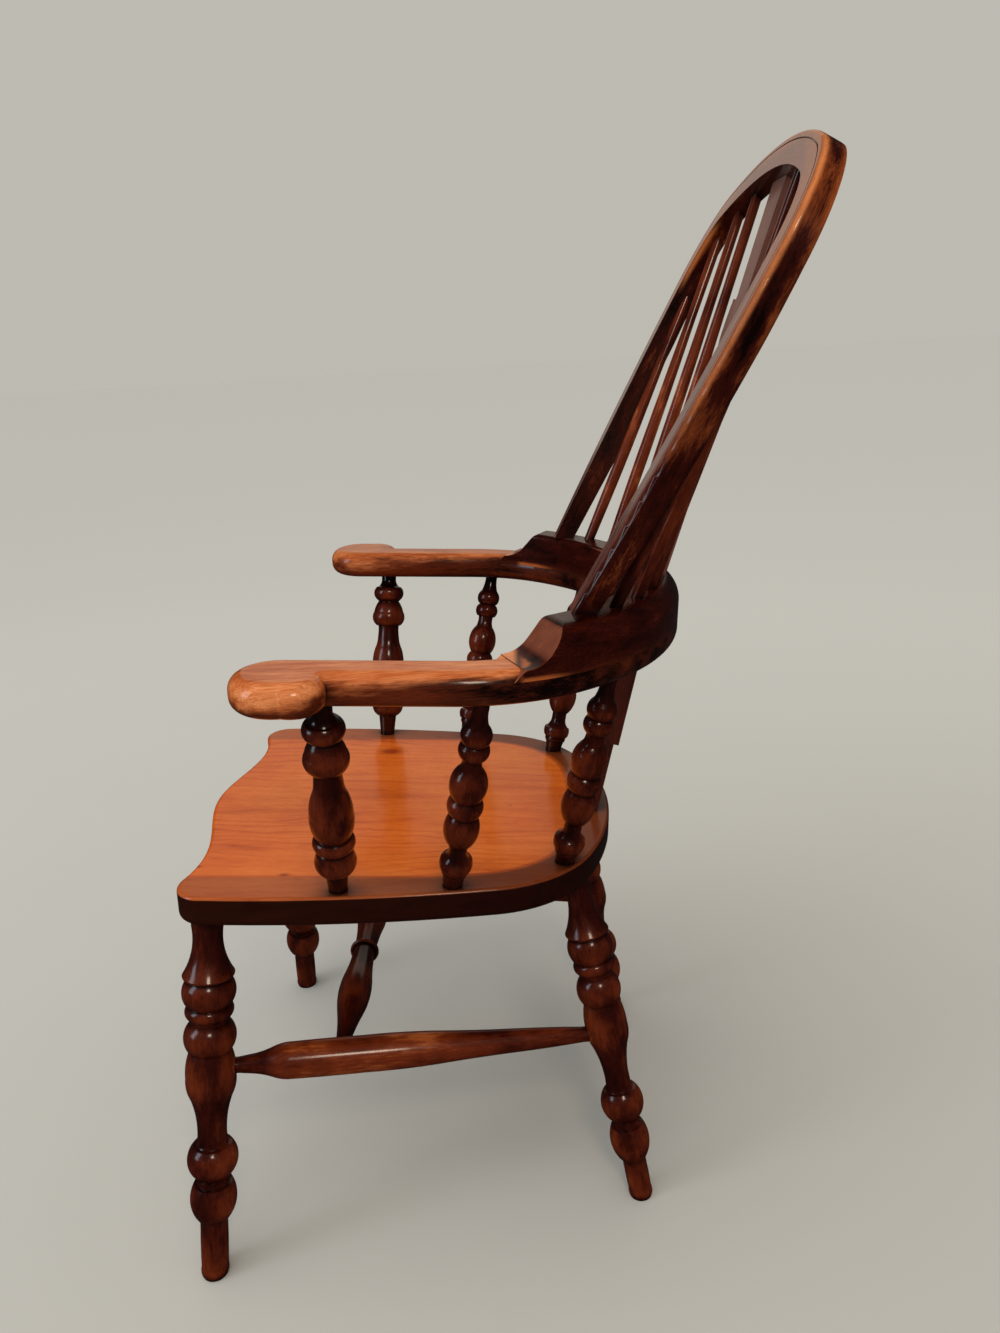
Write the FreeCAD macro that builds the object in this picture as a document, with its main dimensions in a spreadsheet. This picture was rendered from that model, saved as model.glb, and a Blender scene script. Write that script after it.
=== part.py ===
import FreeCAD, Part
import math
import os

import Sketcher
from FreeCAD import Placement, Rotation, Vector

# Wheelback armchair: a saddled plank seat carries turned legs below and turned posts above, two sawn arms
# meet behind the sitter under a raised back rail, and a leaning hoop holds the spindles and the splat.
# Seat frame while building: floor at z = 0, sitter faces -Y, y = 0 at the seat's middle, +X is the sitter's
# left. At the end every piece is shifted so that the whole chair's box is centred over the origin.

# Driving dimensions, in millimetres and degrees: name, value, meaning
SIZES = [
    ("socket_play", 0.1, "gap all round a tenon in its socket"),
    ("socket_lip", 4, "straight part of a tenon that shows outside its socket"),

    ("seat_height", 445, "floor to the seat's top face at its middle"),
    ("seat_slope", 3.2, "rise of the seat towards the front, degrees"),
    ("seat_thickness", 34, "plank before it is hollowed"),
    ("seat_half_width", 236.5, "middle to side, at the widest place"),
    ("seat_widest_back", -150, "where the seat is widest"),
    ("seat_front", -247, "front corners, before rounding"),
    ("seat_pommel", -244, "middle of the front edge"),
    ("seat_thigh_notch", -222, "front edge in front of each thigh"),
    ("seat_thigh_across", 118, "middle to the deepest place of each thigh notch"),
    ("seat_back", 237, "middle of the back edge"),
    ("seat_side_radius", 1500, "long sweep of the sides"),
    ("seat_shoulder_radius", 140, "sweep from side to back"),
    ("seat_back_radius", 330, "sweep of the back edge"),
    ("seat_corner_radius", 30, "front corners in plan"),
    ("seat_top_round", 4, "rounding of the top edge"),
    ("seat_under_round", 8, "rounding of the lower edge"),
    ("dish_half_width", 191, "middle to the carved line at each side"),
    ("dish_back", 190, "carved line behind the sitter"),
    ("dish_straight", -30, "where the carved line starts to turn in"),
    ("dish_depth", 14, "hollow of the seat at its middle"),
    ("pommel_rise", 13, "ridge between the thighs, above the hollow"),
    ("pommel_half_width", 42, "spread of that ridge"),
    ("pommel_back", -60, "where that ridge dies out"),

    ("front_foot_x", 267.7, "front foot on the floor, from the middle"),
    ("front_foot_y", -239.7, "front foot on the floor"),
    ("front_leg_top_x", 195.5, "front leg under the seat"),
    ("front_leg_top_y", -206.5, "front leg under the seat"),
    ("rear_foot_x", 181.1, "rear foot on the floor"),
    ("rear_foot_y", 248.5, "rear foot on the floor"),
    ("rear_leg_top_x", 114.5, "rear leg under the seat"),
    ("rear_leg_top_y", 186.8, "rear leg under the seat"),
    ("rear_leg_thickness_share", 0.91, "rear leg's diameters over the front leg's"),
    ("foot_trim", 4, "length of each leg sawn off level at the floor"),
    ("leg_tenon_depth", 24, "leg tenon in the seat"),
    ("leg_tenon", 34, "diameter of the front legs' tenons"),

    ("front_post_inset", 19.6, "front arm post's foot inside the seat's widest"),
    ("front_post_foot_y", -59.9, "front arm post on the seat"),
    ("front_post_head_y", -42.8, "front arm post under the arm"),
    ("middle_post_inset", 29.8, "middle arm post's foot inside the seat's widest"),
    ("middle_post_foot_y", 56.8, "middle arm post on the seat"),
    ("middle_post_head_y", 103.2, "middle arm post under the arm"),
    ("rear_post_inset", 80.3, "rear arm post's foot inside the seat's widest"),
    ("rear_post_foot_y", 175.3, "rear arm post on the seat"),
    ("rear_post_bearing", 41.6, "rear arm post round the bow from the middle of the back, degrees"),
    ("post_head_outset", 8.5, "posts' heads outside the arms' centre line"),
    ("post_foot_depth", 20, "post tenon in the seat"),
    ("post_head_depth", 18, "post tenon in the arm"),
    ("front_post_tenon", 20, "diameter of the front posts' tenons"),
    ("back_post_foot_tenon", 21, "diameter of the other posts' tenons in the seat"),
    ("back_post_head_tenon", 16, "diameter of the other posts' tenons in the arm"),

    ("front_joint_share", 0.425, "side stretcher's place down the front leg"),
    ("rear_joint_share", 0.49, "side stretcher's place down the rear leg"),
    ("cross_joint_share", 0.31, "cross stretcher's place along the side stretcher"),
    ("stretcher_tenon", 17, "diameter of the side stretchers' tenons"),
    ("stretcher_tenon_length", 22, "straight end of a side stretcher"),
    ("stretcher_stop", 8, "leg's axis to the end of the stretcher's tenon"),
    ("cross_tenon", 16, "diameter of the cross stretcher's tenons"),
    ("cross_tenon_length", 18, "straight end of the cross stretcher"),
    ("cross_stop", 5, "side stretcher's axis to the end of the cross tenon"),

    ("arm_rise", 223, "seat's top to the arms' underside, above the seat's middle"),
    ("arm_slope", 3.56, "rise of the arms towards the front, degrees"),
    ("arm_thickness", 34, "arm, top to underside"),
    ("arm_width", 55, "arm, side to side"),
    ("arm_bow_centre", 9, "centre of the bow behind the sitter"),
    ("arm_bow_radius", 282.5, "centre line of that bow"),
    ("arm_pinch", 22, "forearms' centre lines inside the bow's widest"),
    ("arm_elbow_radius", 170, "centre line from bow to forearm"),
    ("arm_front", -121, "front end of the arms"),
    ("arm_knuckle_back", -34, "back end of the knuckle on the arm's outer side"),
    ("arm_knuckle_out", 34, "knuckle's reach beyond the arm's side"),
    ("arm_top_round", 15, "rounding of the arm's top edges"),
    ("arm_under_round", 14, "rounding of the arm's lower edges"),

    ("rail_height", 34, "back rail above the arms"),
    ("rail_lap", 10, "back rail's lap over the arms' rounded top edges"),
    ("rail_end_forward", 146, "where the back rail's slanting ends would meet the arms"),
    ("rail_end_lean", 42, "lean of the cut ends, degrees from upright"),
    ("rail_end_round", 14, "rounding of their top edges"),
    ("rail_ramp_rise", 12, "arms to the foot of the slanting ends"),
    ("rail_ramp_length", 26, "hollow ramp in front of the slanting ends"),
    ("rail_ramp_toe", 0.8, "thickness of the ramp's front edge"),
    ("rail_outer_round", 24, "rounding of the outer top edge"),
    ("rail_inner_round", 6, "rounding of the inner top edge"),

    ("hoop_foot_x", 204, "middle to the hoop's outer edge at the back rail"),
    ("hoop_foot_inset", 6.7, "hoop's feet inside the back rail's centre line"),
    ("hoop_lean", 29.6, "lean of the hoop, degrees from upright"),
    ("hoop_half_width", 258, "middle to the outer edge at the widest place"),
    ("hoop_widest", 350, "rail to the widest place, along the hoop"),
    ("hoop_crown_rise", 133, "widest place to the top, along the hoop"),
    ("hoop_shoulder_radius", 110, "outer edge between side and top"),
    ("hoop_width", 33, "hoop's face, side to side"),
    ("hoop_foot_width", 24, "hoop's face at the rail"),
    ("hoop_depth", 28, "hoop, front to back"),
    ("hoop_crown_depth", 21, "hoop, front to back, at the top"),
    ("hoop_foot_depth", 22, "hoop, front to back, at the rail"),
    ("hoop_taper_length", 150, "length over which the feet taper"),
    ("hoop_foot_trim", 20, "length of the feet sawn off level with the back rail"),
    ("hoop_front", 14.5, "hoop's feet to its front face"),
    ("hoop_tenon", 12, "side of the hoop's square tenons"),
    ("hoop_tenon_back", 3, "middle of the hoop's foot to the middle of its tenon"),
    ("hoop_tenon_depth", 22, "hoop's tenons in the back rail"),
    ("hoop_bead", 8, "outer bead, edge to scribed line"),
    ("hoop_scribe", 1.6, "width and depth of the scribed line"),
    ("hoop_bead_round", 5, "rounding of the outer edges"),

    ("spindle_count", 4, "spindles each side of the splat"),
    ("spindle_foot_outset", 4, "spindles' feet outside the back rail's centre line"),
    ("spindle_foot_inner", 58, "middle to the innermost spindle at the rail"),
    ("spindle_foot_pitch", 39, "spindle to spindle across the rail"),
    ("spindle_foot_tenon", 12.5, "diameter of a spindle at the rail"),
    ("spindle_foot_depth", 20, "spindle tenon in the rail"),
    ("spindle_head_inner", 88, "middle to the innermost spindle, along the hoop"),
    ("spindle_head_pitch", 60, "spindle to spindle along the hoop"),
    ("spindle_head_tenon", 11, "diameter of a spindle at the hoop"),
    ("spindle_head_straight", 110, "straight end of a spindle below the hoop"),
    ("spindle_head_depth", 9, "end of a spindle inside the hoop's inner edge"),

    ("splat_thickness", 10, "both splats"),
    ("splat_tenon_depth", 14, "splat tenons in seat, rail and hoop"),
    ("splat_foot_outset", 3.5, "upper splat's face behind the back rail's centre line"),
    ("splat_neck_width", 56, "upper splat below the hoop"),
    ("splat_waist_width", 44, "upper splat above the barbs"),
    ("splat_body_width", 84, "upper splat below the barbs"),
    ("splat_foot_width", 64, "upper splat at the rail"),
    ("splat_barb_drop", 118, "hoop to the barbs, down the splat"),
    ("wheel_diameter", 92, "pierced wheel in the upper splat"),
    ("wheel_drop", 232, "hoop to the wheel's centre, down the splat"),
    ("wheel_rim", 9, "rim of the wheel"),
    ("wheel_hub", 24, "hub of the wheel"),
    ("wheel_spoke", 6, "width of a spoke"),
    ("wheel_spokes", 6, "spokes in the wheel"),
    ("flame_width", 8, "bulb of the teardrop above the wheel"),
    ("flame_drop", 160, "hoop to the bulb, down the splat"),
    ("flame_length", 22, "bulb to the tip of the teardrop"),

    ("lower_splat_foot_inset", 26.5, "lower splat's face inside the seat's back edge"),
    ("lower_splat_head_inset", 25, "lower splat's face inside the arms' centre line"),
    ("lower_splat_head_width", 132, "lower splat under the arms"),
    ("lower_splat_foot_width", 70, "lower splat on the seat"),
    ("lower_splat_step", 0.55, "share of its height where it narrows"),
]

# Turned pieces, listed element by element between their tenons:
# element, height along the axis, diameter at its far end, how far it swells from straight (minus = hollow)
TURNINGS = {
    "leg": [
        ("neck", 15, 34, 0),
        ("flare", 55, 55.5, -5.2),
        ("lip", 3, 52, 0.5),
        ("lip_edge", 1, 45, 0),
        ("upper_ring", 31, 46, 6),
        ("small_ring", 14, 43, 3.8),
        ("ring_neck", 5, 41, 0),
        ("lower_ring", 33, 45, 6.6),
        ("shoulder", 31, 54, 1.6),
        ("belly", 22, 46, 1.6),
        ("tail", 50, 32, -2.6),
        ("upper_cove", 7, 35, -0.8),
        ("upper_collar", 1, 42, 0),
        ("bead", 36, 37, 7.7),
        ("lower_cove", 9, 36, -1.4),
        ("lower_collar", 1, 42, 0),
        ("ball", 42, 34, 6.2),
        ("ball_cove", 8, 30, -0.8),
        ("shaft", 44, 29.5, 0.3),
        ("toe", 14, 22, 2),
    ],
    "front_post": [
        ("neck", 4, 20, 0),
        ("flare", 11, 28, -1.4),
        ("top_collar", 1, 34, 0),
        ("top_ring", 18, 32, 4.2),
        ("top_fillet", 2, 28, 0),
        ("collar_slope", 15, 41, 0.9),
        ("collar_ring", 19, 34, 3.6),
        ("collar_edge", 1, 28.5, 0),
        ("waist", 15, 29.5, -0.4),
        ("vase_neck", 14, 35, -0.6),
        ("vase_belly", 24, 44, 1.2),
        ("vase_foot", 29, 34, 2.4),
        ("low_collar", 1, 38, 0),
        ("low_ring", 14, 36, 3.2),
        ("low_fillet", 1, 32, 0),
        ("low_slope", 10, 40, 0.8),
        ("low_ball", 21, 24, 4.8),
        ("foot", 20, 20, 0),
    ],
    "back_post": [
        ("neck", 20, 21, -1),
        ("shoulder", 3, 25, 0),
        ("top_ring", 16, 26, 2.6),
        ("top_fillet", 1, 22, 0),
        ("second_ring", 17, 25, 3.6),
        ("second_edge", 1, 20, 0),
        ("pear_neck", 14, 23, -0.9),
        ("pear", 37, 28, 6.2),
        ("middle_ring", 21, 26, 4.8),
        ("ball", 42, 19, 7),
        ("low_neck", 6, 19, 0),
        ("low_flare", 13, 29, -1.6),
        ("low_edge", 1, 33, 0),
        ("low_ring", 12, 31, 1.2),
        ("low_fillet", 1, 27, 0),
        ("low_collar", 7, 24, 1.0),
        ("foot", 8, 21, 0),
    ],
    "side_stretcher": [
        ("front_rise", 18, 21.5, 0),
        ("front_cove", 20, 33, -0.6),
        ("front_swell", 18, 39, 0.9),
        ("front_belly", 80, 39.5, 0.3),
        ("rear_belly", 80, 36, 0.8),
        ("rear_fall", 90, 26, -0.5),
        ("rear_taper", 90, 17, 0.4),
    ],
    "cross_stretcher": [
        ("rise", 62, 34, -1),
        ("belly", 52, 37, 1.8),
        ("fall", 62, 28, -1.2),
        ("ring", 18, 28, 4.5),
    ],
    "spindle": [
        ("rise", 110, 14.5, 0.3),
        ("taper", 150, 11, 0.2),
    ],
}
# The element of each turning that takes up what is left of the piece's length
SPARE = {"leg": "shaft", "front_post": "foot", "back_post": "foot", "side_stretcher": "rear_taper",
         "cross_stretcher": "ring", "spindle": "taper"}
# Turnings that are alike towards both ends, with the diameter that both ends start from
SYMMETRIC = {"cross_stretcher": "cross_tenon"}

document = FreeCAD.newDocument("WheelbackChair")
sheet = document.addObject("Spreadsheet::Sheet", "Sizes")


def write_sheet():
    rows = list(SIZES)
    for name, elements in TURNINGS.items():
        for element, height, diameter, swell in elements:
            place = name + "_" + element
            rows.append((place + "_height", height, "length of this element of the " + name))
            rows.append((place + "_diameter", diameter, "diameter at its far end"))
            rows.append((place + "_swell", swell, "swell of this element, minus where hollow"))
    for row, (alias, value, meaning) in enumerate(rows, start=1):
        sheet.set("A%d" % row, meaning)
        sheet.set("B%d" % row, str(value))
        sheet.setAlias("B%d" % row, alias)
    document.recompute()


write_sheet()


def size(alias):
    return float(sheet.get(alias))


def number(expression):
    """Value of an expression over the sheet's cells."""
    return float(sheet.evalExpression(expression))


def cell(alias):
    return "Sizes." + alias


def point(expressions):
    return Vector(*[number(expression) for expression in expressions])


def mirrored(place, side):
    return Vector(side * place.x, place.y, place.z)


def along(start, end, share):
    """Expressions for a point between two others."""
    return tuple("(%s) + (%s) * ((%s) - (%s))" % (a, share, b, a) for a, b in zip(start, end))


def distance(start, end):
    squares = ["((%s) - (%s))^2" % (b, a) for a, b in zip(start, end)]
    return "sqrt(" + " + ".join(squares) + ")"


# Faces that pieces seat on, as expressions of the place y
def seat_top(y):
    return "Sizes.seat_height - (%s) * tan(Sizes.seat_slope)" % y


def seat_under(y):
    return seat_top(y) + " - Sizes.seat_thickness / cos(Sizes.seat_slope)"


def arm_under(y):
    return "Sizes.seat_height + Sizes.arm_rise - (%s) * tan(Sizes.arm_slope)" % y


def rail_top(y):
    return arm_under(y) + " + (Sizes.arm_thickness + Sizes.rail_height) / cos(Sizes.arm_slope)"


ARM_REACH = "Sizes.arm_bow_radius - Sizes.arm_pinch"


def turned(label, name, length, head, foot, thickness_share="1"):
    """Body turned round its own Z axis to a named turning. head and foot are the straight tenons at its two
    ends, as expressions of (length, diameter); foot is None where the piece ends without one."""
    body = document.addObject("PartDesign::Body", label + "_body")
    plane = [part for part in body.Origin.OriginFeatures if part.Role == "XZ_Plane"][0]
    sketch = body.newObject("Sketcher::SketchObject", label + "_profile")
    sketch.AttachmentSupport = (plane, [""])
    sketch.MapMode = "FlatFace"

    elements = [(head[0], head[1], "0")] + pattern(name, thickness_share)
    spare = 1 + [row[0] for row in TURNINGS[name]].index(SPARE[name])
    if foot:
        elements.append((foot[0], foot[1], "0"))
    total = number(length)
    heights = [number(height) for height, diameter, swell in elements]
    heights[spare] = total - sum(heights) + heights[spare]
    others = " + ".join(row[0] for index, row in enumerate(elements) if index != spare)
    spare_height = "(%s) - (%s)" % (length, others)

    radius = number(head[1]) / 2
    axis = sketch.addGeometry(Part.LineSegment(Vector(0, 0, 0), Vector(0, total, 0)))
    cap = sketch.addGeometry(Part.LineSegment(Vector(0, 0, 0), Vector(radius, 0, 0)))
    rules = [
        (Sketcher.Constraint("Coincident", axis, 1, -1, 1), None),
        (Sketcher.Constraint("PointOnObject", axis, 2, -2), None),
        (Sketcher.Constraint("Coincident", cap, 1, axis, 1), None),
        (Sketcher.Constraint("Horizontal", cap), None),
        (Sketcher.Constraint("DistanceY", -1, 1, axis, 2, total), length),
        (Sketcher.Constraint("DistanceX", -1, 1, cap, 2, radius), "(%s) / 2" % head[1]),
    ]
    before, start_diameter, station = (cap, 2), head[1], 0.0
    for index, (height, diameter, swell) in enumerate(elements):
        start = Vector(radius, station, 0)
        end = Vector(number(diameter) / 2, station + heights[index], 0)
        bulge = number(swell)
        if bulge == 0:
            edge = sketch.addGeometry(Part.LineSegment(start, end))
            first, second = 1, 2
        else:
            arc = swelling_arc(start, end, bulge)
            edge = sketch.addGeometry(arc)
            first, second = (1, 2) if bulge > 0 else (2, 1)
            rise = spare_height if index == spare else height
            chord_squared = "(((%s) - (%s)) / 2)^2 + (%s)^2" % (start_diameter, diameter, rise)
            bend = "(%s) / (8 * abs(%s)) + abs(%s) / 2" % (chord_squared, swell, swell)
            rules.append((Sketcher.Constraint("Radius", edge, arc.Radius), bend))
        rules.append((Sketcher.Constraint("Coincident", edge, first, *before), None))
        if index != spare:
            step = Sketcher.Constraint("DistanceY", edge, first, edge, second, heights[index])
            rules.append((step, height))
        reach = Sketcher.Constraint("DistanceX", -1, 1, edge, second, end.x)
        rules.append((reach, "(%s) / 2" % diameter))
        before, start_diameter = (edge, second), diameter
        radius, station = end.x, end.y
    end_cap = sketch.addGeometry(Part.LineSegment(Vector(radius, total, 0), Vector(0, total, 0)))
    rules.append((Sketcher.Constraint("Coincident", end_cap, 1, *before), None))
    rules.append((Sketcher.Constraint("Coincident", end_cap, 2, axis, 2), None))
    for rule, expression in rules:
        index = sketch.addConstraint(rule)
        if expression:
            sketch.setExpression("Constraints[%d]" % index, expression)

    turning = body.newObject("PartDesign::Revolution", label + "_turning")
    turning.Profile = sketch
    turning.ReferenceAxis = (sketch, ["V_Axis"])
    turning.Angle = 360
    body.Tip = turning
    return body


def swelling_arc(start, end, swell):
    """Arc between two profile points that stands out by swell, away from the axis, at its middle."""
    chord = end - start
    radius = chord.Length ** 2 / (8 * abs(swell)) + abs(swell) / 2
    outward = Vector(chord.y, -chord.x, 0).normalize()
    centre = (start + end) / 2 + outward * (swell - math.copysign(radius, swell))
    angles = [math.atan2((p - centre).y, (p - centre).x) for p in (start, end)]
    if swell < 0:
        angles.reverse()
    if angles[1] < angles[0]:
        angles[1] += 2 * math.pi
    return Part.ArcOfCircle(Part.Circle(centre, Vector(0, 0, 1), radius), angles[0], angles[1])


def pattern(name, thickness_share):
    """A named turning as expressions of (height, far diameter, swell). A turning with a tenon diameter in
    SYMMETRIC runs back down after its last element in mirror image."""
    rows = []
    for element, height, diameter, swell in TURNINGS[name]:
        place = "Sizes." + name + "_" + element
        bulge = place + "_swell * " + thickness_share if swell else "0"
        rows.append((place + "_height", place + "_diameter * " + thickness_share, bulge))
    if name in SYMMETRIC:
        starts = [cell(SYMMETRIC[name])] + [diameter for height, diameter, swell in rows]
        back = [(row[0], starts[index], row[2]) for index, row in enumerate(rows[:-1])]
        rows += reversed(back)
    return rows


def place_between(thing, start, end):
    """Put a piece that was made along its own Z axis from start towards end."""
    thing.Placement = Placement(start, Rotation(Vector(0, 0, 1), end - start))


# Length of a round tool that starts at a tenon's end: it has to leave the piece on the other side
OVERRUN = "1.8 * Sizes.leg_tenon"


def socket(label, tenon_end, outward, diameter, depth):
    """Round tool for a blind hole: it starts at the tenon's end and runs out past the surface."""
    tool = document.addObject("Part::Cylinder", label)
    tool.setExpression("Radius", "(%s) / 2 + Sizes.socket_play" % diameter)
    tool.setExpression("Height", depth)
    place_between(tool, tenon_end, outward)
    return tool


def cut(label, base, tools):
    """The base less its sockets, mortises and trimmed ends."""
    group = tools[0]
    if len(tools) > 1:
        group = document.addObject("Part::Compound", label + "_tools")
        group.Links = tools
    result = document.addObject("Part::Cut", label + "_cut")
    result.Base = base
    result.Tool = group
    return result


def shaped(label, shape, placement=None):
    """Object whose shape is made from faces, arcs and extrusions."""
    feature = document.addObject("Part::Feature", label)
    feature.Shape = shape
    if placement:
        feature.Placement = placement
    return feature


# Arcs in plan or in the hoop's plane
def tangent_centre(centre_a, radius_a, centre_b, radius_b, radius, toward):
    """Centre of an arc of this radius that touches two larger circles from inside, on the side of toward."""
    reach_a, reach_b = radius_a - radius, radius_b - radius
    gap = centre_b - centre_a
    share = (reach_a ** 2 - reach_b ** 2 + gap.Length ** 2) / (2 * gap.Length)
    height = math.sqrt(reach_a ** 2 - share ** 2)
    unit = gap / gap.Length
    across = Vector(-unit.y, unit.x, 0)
    options = [centre_a + unit * share + across * height, centre_a + unit * share - across * height]
    return min(options, key=lambda option: (option - toward).Length)


def arc_about(centre, radius, start, end):
    """Arc round a centre from one point's bearing to another's, the short way."""
    first, second = [(p - centre).normalize() * radius for p in (start, end)]
    middle = (first + second).normalize() * radius
    return Part.Arc(centre + first, centre + middle, centre + second).toShape()


def mirror_edges(edges):
    return [edge.mirror(Vector(0, 0, 0), Vector(1, 0, 0)) for edge in edges]


def closed_face(edges):
    return Part.Face(Part.Wire(Part.__sortEdges__(edges)))


def edges_at(solid, height, inside=lambda middle: True):
    """Edges that lie at one height, for rounding; inside picks among them by their middle point."""
    picked = []
    for edge in solid.Edges:
        middle = edge.valueAt((edge.FirstParameter + edge.LastParameter) / 2)
        ends = [vertex.Z for vertex in edge.Vertexes] + [middle.z]
        if max(abs(z - height) for z in ends) < 1e-4 and inside(middle):
            picked.append(edge)
    return picked


# Seat: plank in its own plane, top face at z = 0, tilted up at the front
SEAT_PLACE = Placement(Vector(0, 0, size("seat_height")), Rotation(Vector(1, 0, 0), -size("seat_slope")))


def seat_plank():
    half, widest = size("seat_half_width"), size("seat_widest_back")
    side_radius, back_radius, radius = [size("seat_%s_radius" % part) for part in ("side", "back", "shoulder")]
    side_centre = Vector(half - side_radius, widest, 0)
    back_centre = Vector(0, size("seat_back") - back_radius, 0)
    centre = tangent_centre(side_centre, side_radius, back_centre, back_radius, radius, Vector(half, half, 0))
    side_end = side_centre + (centre - side_centre).normalize() * side_radius
    back_start = back_centre + (centre - back_centre).normalize() * back_radius
    front = size("seat_front")
    corner = Vector(side_centre.x + math.sqrt(side_radius ** 2 - (front - widest) ** 2), front, 0)
    sweep = Part.BSplineCurve()
    notch = Vector(size("seat_thigh_across"), size("seat_thigh_notch"), 0)
    mirror_notch = Vector(-notch.x, notch.y, 0)
    mirror_corner = Vector(-corner.x, corner.y, 0)
    sweep.interpolate([mirror_corner, mirror_notch, Vector(0, size("seat_pommel"), 0), notch, corner])
    half_edges = [
        arc_about(side_centre, side_radius, corner, side_end),
        arc_about(centre, radius, side_end, back_start),
        arc_about(back_centre, back_radius, back_start, Vector(0, size("seat_back"), 0)),
    ]
    outline = closed_face([sweep.toShape()] + half_edges + mirror_edges(half_edges))
    plank = outline.extrude(Vector(0, 0, -size("seat_thickness")))
    upright = [edge for edge in plank.Edges
               if abs(edge.BoundBox.ZLength - size("seat_thickness")) < 1e-3 and edge.Vertexes[0].Y < widest]
    plank = plank.makeFillet(size("seat_corner_radius"), upright)
    plank = plank.makeFillet(size("seat_under_round"), edges_at(plank, -size("seat_thickness")))
    return plank.makeFillet(size("seat_top_round"), edges_at(plank, 0))


# Grid squares across and along the hollow
DISH_STEPS = 18


def dish_height(x, y):
    """Height of the hollowed surface over the plank's top; above it outside the carved line."""
    back_reach = size("dish_back") - size("dish_straight")
    across = abs(x) / size("dish_half_width")
    behind = max(y - size("dish_straight"), 0) / back_reach
    out = (across ** 3.4 + behind ** 3.4) ** (1 / 3.4)
    forward = min(max((size("pommel_back") - y) / (size("pommel_back") - size("seat_pommel")), 0), 1)
    ridge = size("pommel_rise") * forward ** 1.5 * math.exp(-(x / size("pommel_half_width")) ** 2)
    return size("dish_depth") * (out ** 4 - 1) + ridge


def dish_cutter():
    """Everything over the hollowed surface, drawn through a grid of its points a little wider than the seat."""
    margin, lid = 3 * size("seat_top_round"), size("seat_thickness")
    side = size("seat_half_width") + margin
    front, back = size("seat_pommel") - margin, size("seat_back") + margin
    shares = [step / DISH_STEPS for step in range(DISH_STEPS + 1)]
    columns = [side * (2 * share - 1) for share in shares]
    rows = [front + (back - front) * share for share in shares]
    grid = [[Vector(x, y, min(dish_height(x, y), lid)) for y in rows] for x in columns]
    surface = Part.BSplineSurface()
    surface.interpolate(grid)
    return surface.toShape().extrude(Vector(0, 0, 2 * lid))


# Sawn parts behind and beside the sitter: plan outlines on one centre line, seen from above
ARM_PLACE = Placement(Vector(0, 0, number(arm_under("0"))), Rotation(Vector(1, 0, 0), -size("arm_slope")))
BOW_CENTRE = Vector(0, size("arm_bow_centre"), 0)


def elbow_centre():
    reach, radius, bow = number(ARM_REACH), size("arm_elbow_radius"), size("arm_bow_radius")
    across = reach - radius
    return BOW_CENTRE + Vector(across, math.sqrt((bow - radius) ** 2 - across ** 2), 0)


def bow_edges(outset):
    """Bow and elbow on the left side, from the middle of the back to the forearm, outset from the centre."""
    centre = elbow_centre()
    bow = size("arm_bow_radius") + outset
    elbow = size("arm_elbow_radius") + outset
    turn = BOW_CENTRE + (centre - BOW_CENTRE).normalize() * bow
    forearm = centre + Vector(elbow, 0, 0)
    back = BOW_CENTRE + Vector(0, bow, 0)
    return [arc_about(BOW_CENTRE, bow, back, turn), arc_about(centre, elbow, turn, forearm)], back, forearm


def arm(side):
    half = size("arm_width") / 2
    outer, outer_back, outer_elbow = bow_edges(half)
    inner, inner_back, inner_elbow = bow_edges(-half)
    front, knuckle_back = size("arm_front"), size("arm_knuckle_back")
    knuckle_side = outer_elbow.x + size("arm_knuckle_out")
    crease = Vector(outer_elbow.x, knuckle_back, 0)
    knuckle_length = knuckle_back - front
    widest = Vector(knuckle_side, knuckle_back - knuckle_length * 0.42, 0)
    heel = Vector(outer_elbow.x + size("arm_knuckle_out") * 0.72, knuckle_back - knuckle_length * 0.07, 0)
    toe = Vector(knuckle_side - size("arm_width") * 0.55, front, 0)
    brow = Vector(knuckle_side - size("arm_width") * 0.12, front + knuckle_length * 0.2, 0)
    nose = Vector(inner_elbow.x, front + size("arm_width") * 0.75, 0)
    cheek = Vector(inner_elbow.x + size("arm_width") * 0.22, front + size("arm_width") * 0.2, 0)
    edges = outer + inner + [
        Part.makeLine(outer_back, inner_back),
        Part.makeLine(outer_elbow, crease),
        Part.Arc(crease, heel, widest).toShape(),
        Part.Arc(widest, brow, toe).toShape(),
        Part.Arc(toe, cheek, nose).toShape(),
        Part.makeLine(nose, inner_elbow),
    ]
    board = closed_face(edges).extrude(Vector(0, 0, size("arm_thickness")))

    def off_the_butt(middle):
        return middle.x > 1e-3

    board = board.makeFillet(size("arm_top_round"), edges_at(board, size("arm_thickness"), off_the_butt))
    board = board.makeFillet(size("arm_under_round"), edges_at(board, 0, off_the_butt))
    return board if side > 0 else board.mirror(Vector(0, 0, 0), Vector(1, 0, 0))


def back_rail():
    """Rail whose flat underside rests on the arms, with a lap at each side over their rounded edges."""
    half = size("arm_width") / 2
    outer, outer_back, outer_elbow = bow_edges(half)
    inner, inner_back, inner_elbow = bow_edges(-half)
    sides = outer + inner
    ends = [Part.makeLine(outer_elbow, inner_elbow)]
    outline = closed_face(sides + mirror_edges(sides) + ends + mirror_edges(ends))
    top, lap = size("rail_height"), size("rail_lap")
    outline.translate(Vector(0, 0, -lap))
    block = outline.extrude(Vector(0, 0, top + lap))
    block = block.makeFillet(size("rail_outer_round"), [e for e in edges_at(block, top) if is_side(e, 1)])
    block = block.makeFillet(size("rail_inner_round"), [e for e in edges_at(block, top) if is_side(e, -1)])
    for side in (1, -1):
        under = arm(side)
        under.translate(Vector(0, 0, -size("arm_thickness")))
        block = block.cut(rail_end_cutter(side)).cut(under)
    return block


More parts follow.
